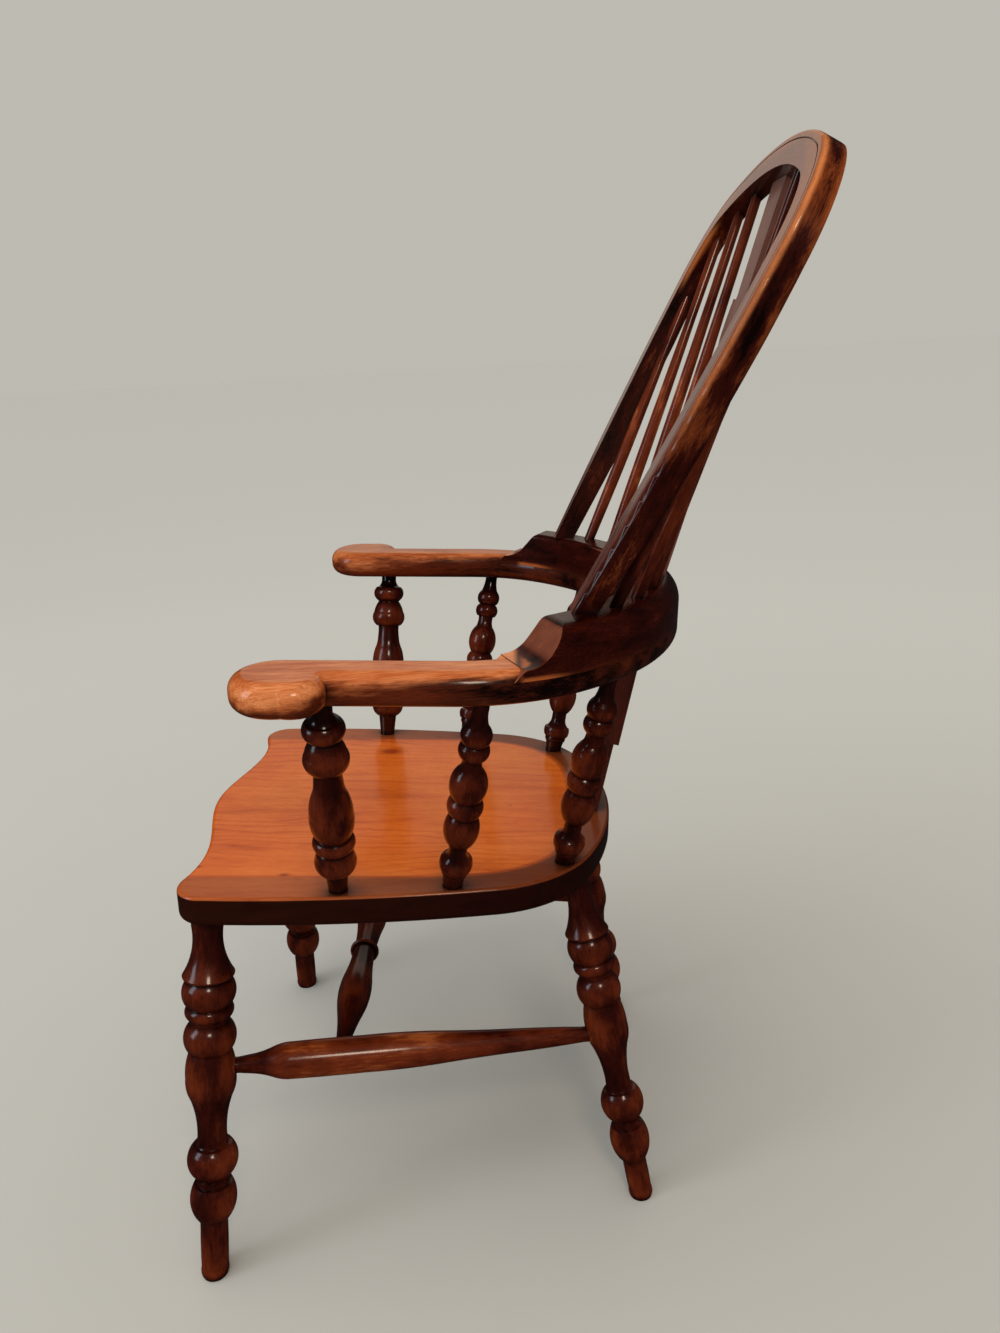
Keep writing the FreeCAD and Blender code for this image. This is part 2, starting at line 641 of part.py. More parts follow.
def is_side(edge, side):
    """Whether a curved edge lies outside (1) or inside (-1) the bow's centre line."""
    if edge.Curve.TypeId != "Part::GeomCircle":
        return False
    radius = edge.Curve.Radius
    centre_line = size("arm_bow_radius") if radius > size("arm_elbow_radius") + size("arm_width") \
        else size("arm_elbow_radius")
    return (radius - centre_line) * side > 0


def rail_end_profile():
    """Wires' corners and arcs of one rail end seen from its side: y backwards, z up from the arm."""
    lean = math.radians(size("rail_end_lean"))
    top, lap, round_radius = size("rail_height"), size("rail_lap"), size("rail_end_round")
    rise, length, toe = [size("rail_ramp_" + part) for part in ("rise", "length", "toe")]
    slant = Vector(0, math.sin(lean), math.cos(lean))
    corner = slant * (top / math.cos(lean))
    setback = round_radius * math.tan((math.pi / 2 - lean) / 2)
    shoulder, brow = corner - slant * setback, corner + Vector(0, setback, 0)
    centre = brow - Vector(0, 0, round_radius)
    crown = centre + (corner - centre).normalize() * round_radius
    foot = slant * (rise / math.cos(lean))
    front = foot + Vector(0, -length, toe - rise)
    ramp_radius = (length ** 2 + (rise - toe) ** 2) / (2 * (rise - toe))
    half_turn = math.atan((rise - toe) / length)
    hollow = front + Vector(0, math.sin(half_turn), 1 - math.cos(half_turn)) * ramp_radius
    far = 2 * size("arm_bow_radius")
    behind = [front, Vector(0, front.y, 0), Vector(0, front.y - lap, -lap), Vector(0, front.y - lap, -far),
              Vector(0, -far, -far), Vector(0, -far, far), Vector(0, brow.y, far), brow]
    edges = [Part.makeLine(start, end) for start, end in zip(behind, behind[1:])]
    edges += [Part.Arc(brow, crown, shoulder).toShape(), Part.makeLine(shoulder, foot),
              Part.Arc(foot, hollow, front).toShape()]
    return edges


def rail_end_cutter(side):
    """Everything in front of one end of the rail: rounded edge, slanting cut and hollow ramp."""
    centre = elbow_centre()
    forward = size("rail_end_forward")
    place = Vector(centre.x + math.sqrt(size("arm_elbow_radius") ** 2 - (forward - centre.y) ** 2), forward, 0)
    bearing = math.degrees(math.atan2(place.y - centre.y, place.x - centre.x))
    across = 2 * size("arm_width")
    block = closed_face(rail_end_profile()).extrude(Vector(2 * across, 0, 0))
    block.translate(Vector(-across, 0, 0))
    block.rotate(Vector(0, 0, 0), Vector(0, 0, 1), bearing)
    block.translate(place)
    return block if side > 0 else block.mirror(Vector(0, 0, 0), Vector(1, 0, 0))


# Hoop: drawn in its own leaning plane, x across, y up the hoop from the rail, z square to its front face
HOOP_TURN = Rotation(Vector(1, 0, 0), 90 - size("hoop_lean"))
HOOP_FOOT_Y = number("Sizes.arm_bow_centre + sqrt((Sizes.arm_bow_radius - Sizes.hoop_foot_inset)^2"
                     " - (Sizes.hoop_foot_x - Sizes.hoop_foot_width / 2)^2)")
HOOP_PLACE = Placement(Vector(0, HOOP_FOOT_Y, number(rail_top(HOOP_FOOT_Y))), HOOP_TURN)
HOOP_RISE = number("Sizes.hoop_widest + Sizes.hoop_crown_rise")


def hoop_arcs():
    """Centre and radius of the outer edge's three arcs on the left: side, shoulder and top."""
    half, widest, rise = size("hoop_half_width"), size("hoop_widest"), HOOP_RISE
    spread = half - size("hoop_foot_x")
    side = (widest ** 2 + spread ** 2) / (2 * spread)
    shoulder = size("hoop_shoulder_radius")
    centre = Vector(half - shoulder, widest, 0)
    top = (centre.x ** 2 + (rise - widest) ** 2 - shoulder ** 2) / (2 * (rise - widest - shoulder))
    return [(Vector(half - side, widest, 0), side), (centre, shoulder), (Vector(0, rise - top, 0), top)]


def hoop_line(inset, foot=0):
    """Edges of the whole hoop at a distance inside its outer edge, starting foot above the rail."""
    (side_centre, side), (centre, shoulder), (top_centre, top) = hoop_arcs()
    across = math.sqrt((side - inset) ** 2 - (side_centre.y - foot) ** 2)
    start = Vector(side_centre.x + across, foot, 0)
    widest = side_centre + Vector(side - inset, 0, 0)
    bend = top_centre + (centre - top_centre).normalize() * (top - inset)
    crown = top_centre + Vector(0, top - inset, 0)
    edges = [
        arc_about(side_centre, side - inset, start, widest),
        arc_about(centre, shoulder - inset, widest, bend),
        arc_about(top_centre, top - inset, bend, crown),
    ]
    return edges + mirror_edges(edges), start


def hoop_point(distance, inset):
    """Point on the left at a distance from the crown, walked along the hoop's inner edge."""
    (side_centre, side), (centre, shoulder), (top_centre, top) = hoop_arcs()
    inner = size("hoop_width")
    join = centre - top_centre
    top_angle = math.atan2(join.x, join.y)
    top_length = top_angle * (top - inner)
    shoulder_length = (math.pi / 2 - top_angle) * (shoulder - inner)
    if distance < top_length:
        angle = distance / (top - inner)
        return top_centre + Vector(math.sin(angle), math.cos(angle), 0) * (top - inset)
    if distance < top_length + shoulder_length:
        angle = top_angle + (distance - top_length) / (shoulder - inner)
        return centre + Vector(math.sin(angle), math.cos(angle), 0) * (shoulder - inset)
    angle = (distance - top_length - shoulder_length) / (side - inner)
    return side_centre + Vector(math.cos(angle), -math.sin(angle), 0) * (side - inset)


def hoop_solid():
    width, depth, front = size("hoop_width"), size("hoop_depth"), size("hoop_front")
    taper = size("hoop_taper_length")
    outer, outer_foot = hoop_line(0, -size("hoop_foot_trim"))
    inner, inner_start = hoop_line(width, taper)
    inner_foot = Vector(outer_foot.x - size("hoop_foot_width"), outer_foot.y, 0)
    feet = [Part.makeLine(outer_foot, inner_foot), Part.makeLine(inner_foot, inner_start)]
    outline = closed_face(outer + inner + feet + mirror_edges(feet))
    outline.translate(Vector(0, 0, front - depth))
    solid = outline.extrude(Vector(0, 0, depth))
    for face in (front, front - depth):
        solid = solid.makeFillet(size("hoop_bead_round"), [e for e in edges_at(solid, face) if outer_arc(e)])
    back = front - depth
    foot_back, crown_back = front - size("hoop_foot_depth"), front - size("hoop_crown_depth")
    low, high = outer_foot.y, HOOP_RISE + depth
    corners = [Vector(0, low, back - depth), Vector(0, low, foot_back), Vector(0, 0, foot_back),
               Vector(0, taper, back), Vector(0, size("hoop_widest") - taper / 2, back),
               Vector(0, HOOP_RISE, crown_back), Vector(0, high, crown_back), Vector(0, high, back - depth)]
    behind = Part.Face(Part.makePolygon(corners + corners[:1]))
    reach = 2 * size("hoop_half_width")
    behind.translate(Vector(-reach / 2, 0, 0))
    return solid.cut(behind.extrude(Vector(reach, 0, 0)))


def outer_arc(edge):
    if edge.Curve.TypeId != "Part::GeomCircle":
        return False
    return any(abs(edge.Curve.Radius - radius) < 1e-3 for centre, radius in hoop_arcs())


def hoop_scribe():
    """Tool for the line scribed round the front face."""
    bead, width = size("hoop_bead"), size("hoop_scribe")
    outer, outer_foot = hoop_line(bead, 1)
    inner, inner_foot = hoop_line(bead + width, 1)
    ends = [Part.makeLine(outer_foot, inner_foot)]
    ring = closed_face(outer + inner + ends + mirror_edges(ends))
    ring.translate(Vector(0, 0, size("hoop_front") - width))
    return ring.extrude(Vector(0, 0, 2 * width))


def hoop_tenon(side, play):
    """Square tenon under one foot, or with play the tool for its mortise."""
    outer, outer_foot = hoop_line(0)
    across = outer_foot.x - size("hoop_foot_width") / 2
    middle = size("hoop_front") - size("hoop_foot_depth") / 2 - size("hoop_tenon_back")
    half = size("hoop_tenon") / 2 + play
    depth = size("hoop_tenon_depth")
    length = depth + size("hoop_foot_trim") * (1 if play else 0.1)
    return Part.makeBox(2 * half, length, 2 * half, Vector(side * across - half, -depth, middle - half))


# Splats: drawn in their own planes, x across, y up, front face at z = 0
def leaning_plane(start, end):
    """Placement at start, with its own y running towards end and its z square to that, facing forward."""
    rise = end - start
    return Placement(start, Rotation(Vector(1, 0, 0), math.degrees(math.atan2(rise.z, rise.y))))


SPLAT_TOP = HOOP_PLACE.multVec(Vector(0, HOOP_RISE - size("hoop_width"), 0))
SPLAT_FOOT_Y = number("Sizes.arm_bow_centre + Sizes.arm_bow_radius + Sizes.splat_foot_outset")
SPLAT_FOOT = Vector(0, SPLAT_FOOT_Y, number(rail_top(SPLAT_FOOT_Y)))
SPLAT_DROP = (SPLAT_TOP - SPLAT_FOOT).Length
SPLAT_PLACE = leaning_plane(SPLAT_FOOT, SPLAT_TOP)
SPLAT_PLACE.Base = SPLAT_TOP


def upper_splat():
    drop, tenon = SPLAT_DROP, size("splat_tenon_depth")
    neck, waist, body, foot = [size("splat_%s_width" % part) / 2 for part in ("neck", "waist", "body", "foot")]
    barb = size("splat_barb_drop")
    wheel = size("wheel_diameter") / 2
    hub_y = -size("wheel_drop")
    cheek = wheel + size("wheel_rim") * 0.6
    top = Vector(neck, tenon, 0)
    waist_point = Vector(waist, -barb + neck * 0.3, 0)
    tip = Vector(waist + (body - waist) * 0.72, -barb, 0)
    scoop = Vector(waist + (body - waist) * 0.2, -barb - neck * 0.1, 0)
    shoulder = Vector(body, -barb - body, 0)
    brow = Vector(body - (body - tip.x) * 0.25, -barb - body * 0.4, 0)
    upper_pinch = Vector(body * 0.86, hub_y + wheel * 1.25, 0)
    lower_pinch = Vector(body * 0.86, hub_y - wheel * 1.25, 0)
    bottom = Vector(foot, -drop - tenon, 0)
    edges = [
        Part.makeLine(top, waist_point),
        Part.Arc(waist_point, scoop, tip).toShape(),
        Part.Arc(tip, brow, shoulder).toShape(),
        Part.makeLine(shoulder, upper_pinch),
        Part.Arc(upper_pinch, Vector(cheek, hub_y, 0), lower_pinch).toShape(),
        Part.makeLine(lower_pinch, bottom),
    ]
    ends = [Part.makeLine(top, Vector(0, tenon, 0)), Part.makeLine(bottom, Vector(0, bottom.y, 0))]
    outline = closed_face(edges + ends + mirror_edges(edges + ends))
    board = outline.extrude(Vector(0, 0, -size("splat_thickness")))
    return board.cut(wheel_openings()).cut(flame())


def wheel_openings():
    """What is sawn out of the upper splat between hub, spokes and rim."""
    thickness = size("splat_thickness")
    middle = Vector(0, -size("wheel_drop"), -thickness - 1)
    ring = Part.makeCylinder(size("wheel_diameter") / 2 - size("wheel_rim"), thickness + 2, middle)
    ring = ring.cut(Part.makeCylinder(size("wheel_hub") / 2, thickness + 2, middle))
    count = int(size("wheel_spokes"))
    half = size("wheel_spoke") / 2
    for index in range(count):
        spoke = Part.makeBox(2 * half, size("wheel_diameter"), thickness + 2, middle + Vector(-half, 0, 0))
        spoke.rotate(middle, Vector(0, 0, 1), 360 * index / count)
        ring = ring.cut(spoke)
    return ring


def flame():
    """Teardrop sawn through below the barbs: a round bulb that closes to a slit above."""
    bulb = size("flame_width") / 2
    low = Vector(0, -size("flame_drop"), -size("splat_thickness") - 1)
    tip = low + Vector(0, size("flame_length"), 0)
    left, right = low + Vector(-bulb, 0, 0), low + Vector(bulb, 0, 0)
    edges = [
        Part.Arc(left, low + Vector(0, -bulb, 0), right).toShape(),
        Part.Arc(right, (right + tip) / 2 + Vector(-bulb * 0.25, 0, 0), tip).toShape(),
        Part.Arc(left, (left + tip) / 2 + Vector(bulb * 0.25, 0, 0), tip).toShape(),
    ]
    return closed_face(edges).extrude(Vector(0, 0, size("splat_thickness") + 2))


def mortise(width, low, high, play):
    """Tool for the hole that takes the end of a splat."""
    thickness = size("splat_thickness") + 2 * play
    return Part.makeBox(width + 2 * play, high - low, thickness, Vector(-width / 2 - play, low, play - thickness))


LOWER_FOOT_Y = number("Sizes.seat_back - Sizes.lower_splat_foot_inset")
LOWER_HEAD_Y = number("Sizes.arm_bow_centre + Sizes.arm_bow_radius - Sizes.lower_splat_head_inset")
LOWER_FOOT = Vector(0, LOWER_FOOT_Y, number(seat_top(LOWER_FOOT_Y)))
LOWER_HEAD = Vector(0, LOWER_HEAD_Y, number(arm_under(LOWER_HEAD_Y)))
LOWER_RISE = LOWER_HEAD - LOWER_FOOT
LOWER_PLACE = leaning_plane(LOWER_FOOT, LOWER_HEAD)


def lower_splat():
    tenon, height = size("splat_tenon_depth"), LOWER_RISE.Length
    head, foot = size("lower_splat_head_width") / 2, size("lower_splat_foot_width") / 2
    step = height * (1 - size("lower_splat_step"))
    edges = [
        Part.makeLine(Vector(0, -tenon, 0), Vector(foot, -tenon, 0)),
        Part.makeLine(Vector(foot, -tenon, 0), Vector(foot, step, 0)),
        Part.makeLine(Vector(foot, step, 0), Vector(head, step, 0)),
        Part.makeLine(Vector(head, step, 0), Vector(head, height + tenon, 0)),
        Part.makeLine(Vector(head, height + tenon, 0), Vector(0, height + tenon, 0)),
    ]
    return closed_face(edges + mirror_edges(edges)).extrude(Vector(0, 0, -size("splat_thickness")))


# Assembly
pieces = {}
tools = {"seat": [], "arm_left": [], "arm_right": [], "back_rail": [], "hoop": []}
SIDES = {"left": 1, "right": -1}
ground = document.addObject("Part::Box", "ground")
ground.setExpression("Length", "4 * Sizes.front_foot_x")
ground.setExpression("Width", "4 * Sizes.front_foot_x")
ground.setExpression("Height", "2 * Sizes.front_foot_x")
ground.Placement.Base = Vector(-2, -2, -2) * size("front_foot_x")

leg_ends = {}
for row, thickness in (("front", "1"), ("rear", cell("rear_leg_thickness_share"))):
    top_y = cell(row + "_leg_top_y")
    leg_ends[row] = ((cell(row + "_leg_top_x"), top_y, seat_under(top_y)),
                     (cell(row + "_foot_x"), cell(row + "_foot_y"), "0"))
    top, foot = leg_ends[row]
    length = distance(top, foot) + " + Sizes.leg_tenon_depth + Sizes.foot_trim"
    tenon = cell("leg_tenon") + " * " + thickness
    for side, sign in SIDES.items():
        label = "leg_%s_%s" % (row, side)
        head_tenon = ("Sizes.leg_tenon_depth + Sizes.socket_lip", tenon)
        body = turned(label, "leg", length, head_tenon, None, thickness)
        start, end = mirrored(point(top), sign), mirrored(point(foot), sign)
        start += (start - end).normalize() * size("leg_tenon_depth")
        place_between(body, start, end)
        reach = "Sizes.leg_tenon_depth + 4 * Sizes.socket_lip"
        tools["seat"].append(socket(label + "_socket", start, end, tenon, reach))
        joint = mirrored(point(along(top, foot, cell(row + "_joint_share"))), sign)
        pieces[label] = (body, joint)

front_joint = along(*leg_ends["front"], cell("front_joint_share"))
rear_joint = along(*leg_ends["rear"], cell("rear_joint_share"))
cross_joint = along(front_joint, rear_joint, cell("cross_joint_share"))
tenon_ends = (cell("stretcher_tenon_length"), cell("stretcher_tenon"))
for side, sign in SIDES.items():
    label = "side_stretcher_" + side
    length = distance(front_joint, rear_joint) + " - 2 * Sizes.stretcher_stop"
    body = turned(label, "side_stretcher", length, tenon_ends, tenon_ends)
    front, rear = mirrored(point(front_joint), sign), mirrored(point(rear_joint), sign)
    run = (rear - front).normalize() * size("stretcher_stop")
    place_between(body, front + run, rear)
    for row, here, there, step in (("front", front, rear, run), ("rear", rear, front, -run)):
        leg = "leg_%s_%s" % (row, side)
        hole = socket(leg + "_stretcher_socket", here + step, there, cell("stretcher_tenon"), OVERRUN)
        pieces[leg] = cut(leg, pieces[leg][0], [hole, ground])
    middle = mirrored(point(cross_joint), sign)
    inward = Vector(-sign, 0, 0)
    stop = middle + inward * size("cross_stop")
    hole = socket(label + "_cross_socket", stop, stop + inward, cell("cross_tenon"), OVERRUN)
    pieces[label] = cut(label, body, [hole])

cross_ends = (cell("cross_tenon_length"), cell("cross_tenon"))
cross = turned("cross_stretcher", "cross_stretcher", "2 * (%s) - 2 * Sizes.cross_stop" % cross_joint[0],
               cross_ends, cross_ends)
left_end, right_end = [mirrored(point(cross_joint), sign) for sign in (1, -1)]
place_between(cross, left_end + Vector(-size("cross_stop"), 0, 0), right_end)
pieces["cross_stretcher"] = cross

for row, name, head_tenon, foot_tenon in (
        ("front", "front_post", "front_post_tenon", "front_post_tenon"),
        ("middle", "back_post", "back_post_head_tenon", "back_post_foot_tenon"),
        ("rear", "back_post", "back_post_head_tenon", "back_post_foot_tenon")):
    foot_y = cell(row + "_post_foot_y")
    foot = ("Sizes.seat_half_width - " + cell(row + "_post_inset"), foot_y, seat_top(foot_y))
    if row == "rear":
        circle = "(Sizes.arm_bow_radius + Sizes.post_head_outset)"
        head_x = circle + " * sin(Sizes.rear_post_bearing)"
        head_y = "Sizes.arm_bow_centre + %s * cos(Sizes.rear_post_bearing)" % circle
    else:
        head_x, head_y = ARM_REACH + " + Sizes.post_head_outset", cell(row + "_post_head_y")
    head = (head_x, head_y, arm_under(head_y))
    length = distance(head, foot) + " + Sizes.post_head_depth + Sizes.post_foot_depth"
    for side, sign in SIDES.items():
        label = "arm_post_%s_%s" % (row, side)
        body = turned(label, name, length, ("Sizes.post_head_depth + Sizes.socket_lip", cell(head_tenon)),
                      ("Sizes.post_foot_depth + Sizes.socket_lip", cell(foot_tenon)))
        start, end = mirrored(point(head), sign), mirrored(point(foot), sign)
        run = (end - start).normalize()
        start, end = start - run * size("post_head_depth"), end + run * size("post_foot_depth")
        place_between(body, start, end)
        tools["arm_" + side].append(socket(label + "_head_socket", start, end, cell(head_tenon), OVERRUN))
        tools["seat"].append(socket(label + "_foot_socket", end, start, cell(foot_tenon), OVERRUN))
        pieces[label] = body

spindle_circle = number("Sizes.arm_bow_radius + Sizes.spindle_foot_outset")
for side, sign in SIDES.items():
    for index in range(int(size("spindle_count"))):
        label = "spindle_%s_%d" % (side, index + 1)
        across = size("spindle_foot_inner") + index * size("spindle_foot_pitch")
        back = size("arm_bow_centre") + math.sqrt(spindle_circle ** 2 - across ** 2)
        foot = Vector(across, back, number(rail_top(back)))
        walk = size("spindle_head_inner") + index * size("spindle_head_pitch")
        head = hoop_point(walk, size("hoop_width") - size("spindle_head_depth"))
        head = HOOP_PLACE.multVec(head + Vector(0, 0, size("hoop_front") - size("hoop_depth") / 2))
        foot += (foot - head).normalize() * size("spindle_foot_depth")
        foot, head = mirrored(foot, sign), mirrored(head, sign)
        body = turned(label, "spindle", "%.5f" % (head - foot).Length,
                      ("Sizes.spindle_foot_depth + 2 * Sizes.socket_lip", cell("spindle_foot_tenon")),
                      (cell("spindle_head_straight"), cell("spindle_head_tenon")))
        place_between(body, foot, head)
        tools["back_rail"].append(socket(label + "_foot_socket", foot, head, cell("spindle_foot_tenon"), OVERRUN))
        tools["hoop"].append(socket(label + "_head_socket", head, foot, cell("spindle_head_tenon"), "4 * Sizes.hoop_width"))
        pieces[label] = body

play = size("socket_play")
tenon = size("splat_tenon_depth")
pieces["splat_upper"] = shaped("splat_upper_board", upper_splat(), SPLAT_PLACE)
pieces["splat_lower"] = shaped("splat_lower_board", lower_splat(), LOWER_PLACE)
tools["hoop"].append(shaped("splat_head_mortise", mortise(size("splat_neck_width"), -2 * size("hoop_width"), tenon, play),
                            SPLAT_PLACE))
tools["back_rail"].append(shaped("splat_foot_mortise", mortise(size("splat_foot_width"), -SPLAT_DROP - tenon,
                                                               tenon - SPLAT_DROP, play), SPLAT_PLACE))
tools["seat"].append(shaped("lower_splat_foot_mortise", mortise(size("lower_splat_foot_width"), -tenon, tenon, play),
                            LOWER_PLACE))
for side in SIDES:
    hole = mortise(size("lower_splat_head_width"), LOWER_RISE.Length - tenon, LOWER_RISE.Length + tenon, play)
    tools["arm_" + side].append(shaped("lower_splat_head_mortise_" + side, hole, LOWER_PLACE))

RAIL_PLACE = Placement(ARM_PLACE)
RAIL_PLACE.Base = ARM_PLACE.multVec(Vector(0, 0, size("arm_thickness")))
reach = 2 * size("arm_bow_radius")
below = Part.makeBox(2 * reach, reach, reach, Vector(-reach, 0, size("rail_height") - reach))
below.Placement = RAIL_PLACE
hoop_shape = hoop_solid()
hoop_shape.Placement = HOOP_PLACE
hoop_shape = hoop_shape.cut(below)
for sign in SIDES.values():
    peg = hoop_tenon(sign, 0)
    peg.Placement = HOOP_PLACE
    hoop_shape = hoop_shape.fuse(peg)
    tools["back_rail"].append(shaped("hoop_mortise_%d" % (sign + 2), hoop_tenon(sign, play), HOOP_PLACE))
tools["hoop"].append(shaped("hoop_scribe", hoop_scribe(), HOOP_PLACE))
tools["seat"].append(shaped("seat_hollow", dish_cutter(), SEAT_PLACE))

blanks = {
    "seat": shaped("seat_plank", seat_plank(), SEAT_PLACE),
    "arm_left": shaped("arm_left_board", arm(1), ARM_PLACE),
    "arm_right": shaped("arm_right_board", arm(-1), ARM_PLACE),
    "back_rail": shaped("back_rail_block", back_rail(), RAIL_PLACE),
    "hoop": shaped("hoop_bow", hoop_shape),
}
for label, blank in blanks.items():
    pieces[label] = cut(label, blank, tools[label])
document.recompute()

# The whole chair's box is centred over the origin
box = Part.makeCompound([piece.Shape for piece in pieces.values()]).optimalBoundingBox(False)
shift = Placement(Vector(-box.Center.x, -box.Center.y, -box.ZMin), Rotation())
for label, piece in pieces.items():
    piece.Placement = shift.multiply(piece.Placement)
    piece.Label = label
document.recompute()

failed = [thing.Label for thing in document.Objects if {"Invalid", "Error"} & set(thing.State)]
failed += [label for label, piece in pieces.items() if piece.Shape.isNull() or not piece.Shape.isValid()]
failed += [label for label, piece in pieces.items() if len(piece.Shape.Solids) != 1]
if failed:
    raise RuntimeError("pieces that failed: " + ", ".join(failed))

os.makedirs("parts", exist_ok=True)
for label, piece in pieces.items():
    piece.Shape.exportStep("parts/%s.step" % label)
print(len(pieces), "pieces, box", box)
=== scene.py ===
# %% [markdown]
# # Dressing a wheelback armchair
# A Windsor chair with a wheel in its back is elm, beech and yew: a saddled plank for the seat, turnings for
# the legs and posts, sawn boards for the arms and a steam-bent hoop. A century of polish has made it glossy,
# dark in the hollows and worn to orange on every proud edge. The packed model already has the shapes, so this
# lesson loads it as a fixed frame and spends its effort on camera, light and wood.

# %% Load the frame
import math

import bmesh
import bpy
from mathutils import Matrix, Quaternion, Vector


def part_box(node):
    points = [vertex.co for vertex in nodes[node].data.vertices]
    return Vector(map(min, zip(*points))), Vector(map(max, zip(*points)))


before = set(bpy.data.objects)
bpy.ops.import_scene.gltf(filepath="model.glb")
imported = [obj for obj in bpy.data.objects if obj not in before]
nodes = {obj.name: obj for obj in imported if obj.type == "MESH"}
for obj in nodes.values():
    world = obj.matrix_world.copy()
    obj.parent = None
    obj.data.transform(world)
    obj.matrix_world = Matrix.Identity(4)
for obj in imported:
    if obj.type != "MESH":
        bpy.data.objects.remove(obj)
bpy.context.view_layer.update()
seat_low, seat_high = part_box("seat")

# %% [markdown]
# The photograph was taken from the chair's left at about a metre's height, looking slightly down and held a
# little crooked. A camera has a place, a direction, a roll and a focal length. They could be nudged by eye,
# but here they were worked out from the chair's own straight lines, so they are written as real sizes.
# The place is counted from the seat's back edge, so that it stays right if the chair's box moves.

# %% Camera
PHOTO_HEIGHT = 1333
FOCAL_PIXELS = 1007.8
CAMERA_SIDE = 1.1307
CAMERA_BEFORE_SEAT_BACK = 0.0881
CAMERA_HEIGHT = 0.9763
CAMERA_PAN = math.radians(-1.730)
CAMERA_TILT = math.radians(17.960)
CAMERA_ROLL = math.radians(-3.599)

camera_data = bpy.data.cameras.new("camera")
camera_data.sensor_fit = "VERTICAL"
camera_data.sensor_height = 24
camera_data.lens = camera_data.sensor_height * FOCAL_PIXELS / PHOTO_HEIGHT
camera = bpy.data.objects.new("camera", camera_data)
bpy.context.scene.collection.objects.link(camera)
camera.location = (CAMERA_SIDE, seat_high.y - CAMERA_BEFORE_SEAT_BACK, CAMERA_HEIGHT)
look = Vector((-math.cos(CAMERA_TILT) * math.cos(CAMERA_PAN),
               math.cos(CAMERA_TILT) * math.sin(CAMERA_PAN),
               -math.sin(CAMERA_TILT)))
camera.rotation_mode = "QUATERNION"
camera.rotation_quaternion = look.to_track_quat("-Z", "Y") @ Quaternion((0, 0, 1), CAMERA_ROLL)
bpy.context.scene.camera = camera
print("camera at", tuple(round(v, 3) for v in camera.location), "lens", round(camera_data.lens, 1), "mm")

# %% [markdown]
# A material is built from nodes, and most of them hold one sum each. Such maths reads best as arithmetic, so
# this class wraps one socket of a material and each operator adds the Math node that it stands for. Any other
# node comes from add(), which sets the node's own settings first and then its sockets, because some settings
# change which sockets a node has.


# %% Shader maths
def feed(socket, value):
    """Link a Value into a socket, or write a plain number, vector or colour there."""
    if isinstance(value, Value):
        socket.id_data.links.new(value.socket, socket)
    else:
        socket.default_value = value


def add_node(tree, kind, settings=None, values=None, output=0):
    """A new node with its settings made and its sockets filled, as the Value of one output."""
    node = tree.nodes.new("ShaderNode" + kind)
    settings = dict(settings or {})
    stops = settings.pop("stops", ())
    for name, setting in settings.items():
        setattr(node, name, setting)
    for index, (position, colour) in enumerate(stops):
        elements = node.color_ramp.elements
        element = elements[index] if index < len(elements) else elements.new(position)
        element.position = position
        element.color = colour
    for name, value in (values or {}).items():
        feed(node.inputs[name], value)
    return Value(node.outputs[output])


class Value:
    """A socket in a material that takes part in Python arithmetic."""

    def __init__(self, socket):
        self.socket = socket

    def add(self, kind, settings=None, values=None, output=0):
        return add_node(self.socket.id_data, kind, settings, values, output)

    def math(self, operation, *others):
        return self.add("Math", {"operation": operation}, dict(enumerate((self, *others))))

    def __add__(self, other):
        return self.math("ADD", other)

    def __sub__(self, other):
        return self.math("SUBTRACT", other)

    def __rsub__(self, other):
        return self.math("MULTIPLY_ADD", -1, other)

    def __mul__(self, other):
        return self.math("MULTIPLY", other)

    def __pow__(self, other):
        return self.math("POWER", other)

    __radd__ = __add__
    __rmul__ = __mul__

    def at_most_one(self):
        return self.math("MINIMUM", 1)

    def step(self, low, high):
        """0 below low, 1 above high, and smooth between them."""
        return self.add("MapRange", {"interpolation_type": "SMOOTHSTEP"},
                        {"Value": self, "From Min": low, "From Max": high})

    def near(self, centre, reach):
        """1 at the centre, falling smoothly to 0 at the reach on both sides."""
        return 1 - (self - centre).math("ABSOLUTE").step(0, reach)

    def tinted(self, other, mask):
        """This colour, turned into the other one where the mask is 1."""
        other = (*other, 1) if isinstance(other, tuple) else other
        return self.add("Mix", {"data_type": "RGBA"}, {0: mask, 6: self, 7: other}, 2)

    def ramp(self, *stops):
        """This number, turned into a colour by stops of a place and a colour."""
        return self.add("ValToRGB", {"stops": [(place, (*colour, 1)) for place, colour in stops]}, {0: self})

    def vector(self, operation, other, output="Vector"):
        return self.add("VectorMath", {"operation": operation}, {0: self, 1: other}, output)

    def stretched(self, x, y, z):
        return self.vector("MULTIPLY", (x, y, z))

    def part(self, axis):
        return self.add("SeparateXYZ", None, {0: self}, axis)

    def noise(self, scale, detail=2, roughness=0.5):
        return self.add("TexNoise", None,
                        {"Vector": self, "Scale": scale, "Detail": detail, "Roughness": roughness})


print("a Value knows", ", ".join(name for name in vars(Value) if not name.startswith("_")))

# %% [markdown]
# Every finish in this lesson starts from the same three things: a material, its Principled shader and the
# coordinates of the object. Object coordinates are plain metres in the chair's own frame, so a pattern keeps
# its real size and stays on the wood when a piece is exported alone.


# %% A new material
def new_material(name):
    """A material with its Principled node and the object's coordinates."""
    material = bpy.data.materials.new(name)
    material.use_nodes = True
    tree = material.node_tree
    shader = tree.nodes["Principled BSDF"]
    place = add_node(tree, "TexCoord", output="Object")
    return material, shader, place


print("materials so far:", len(bpy.data.materials))

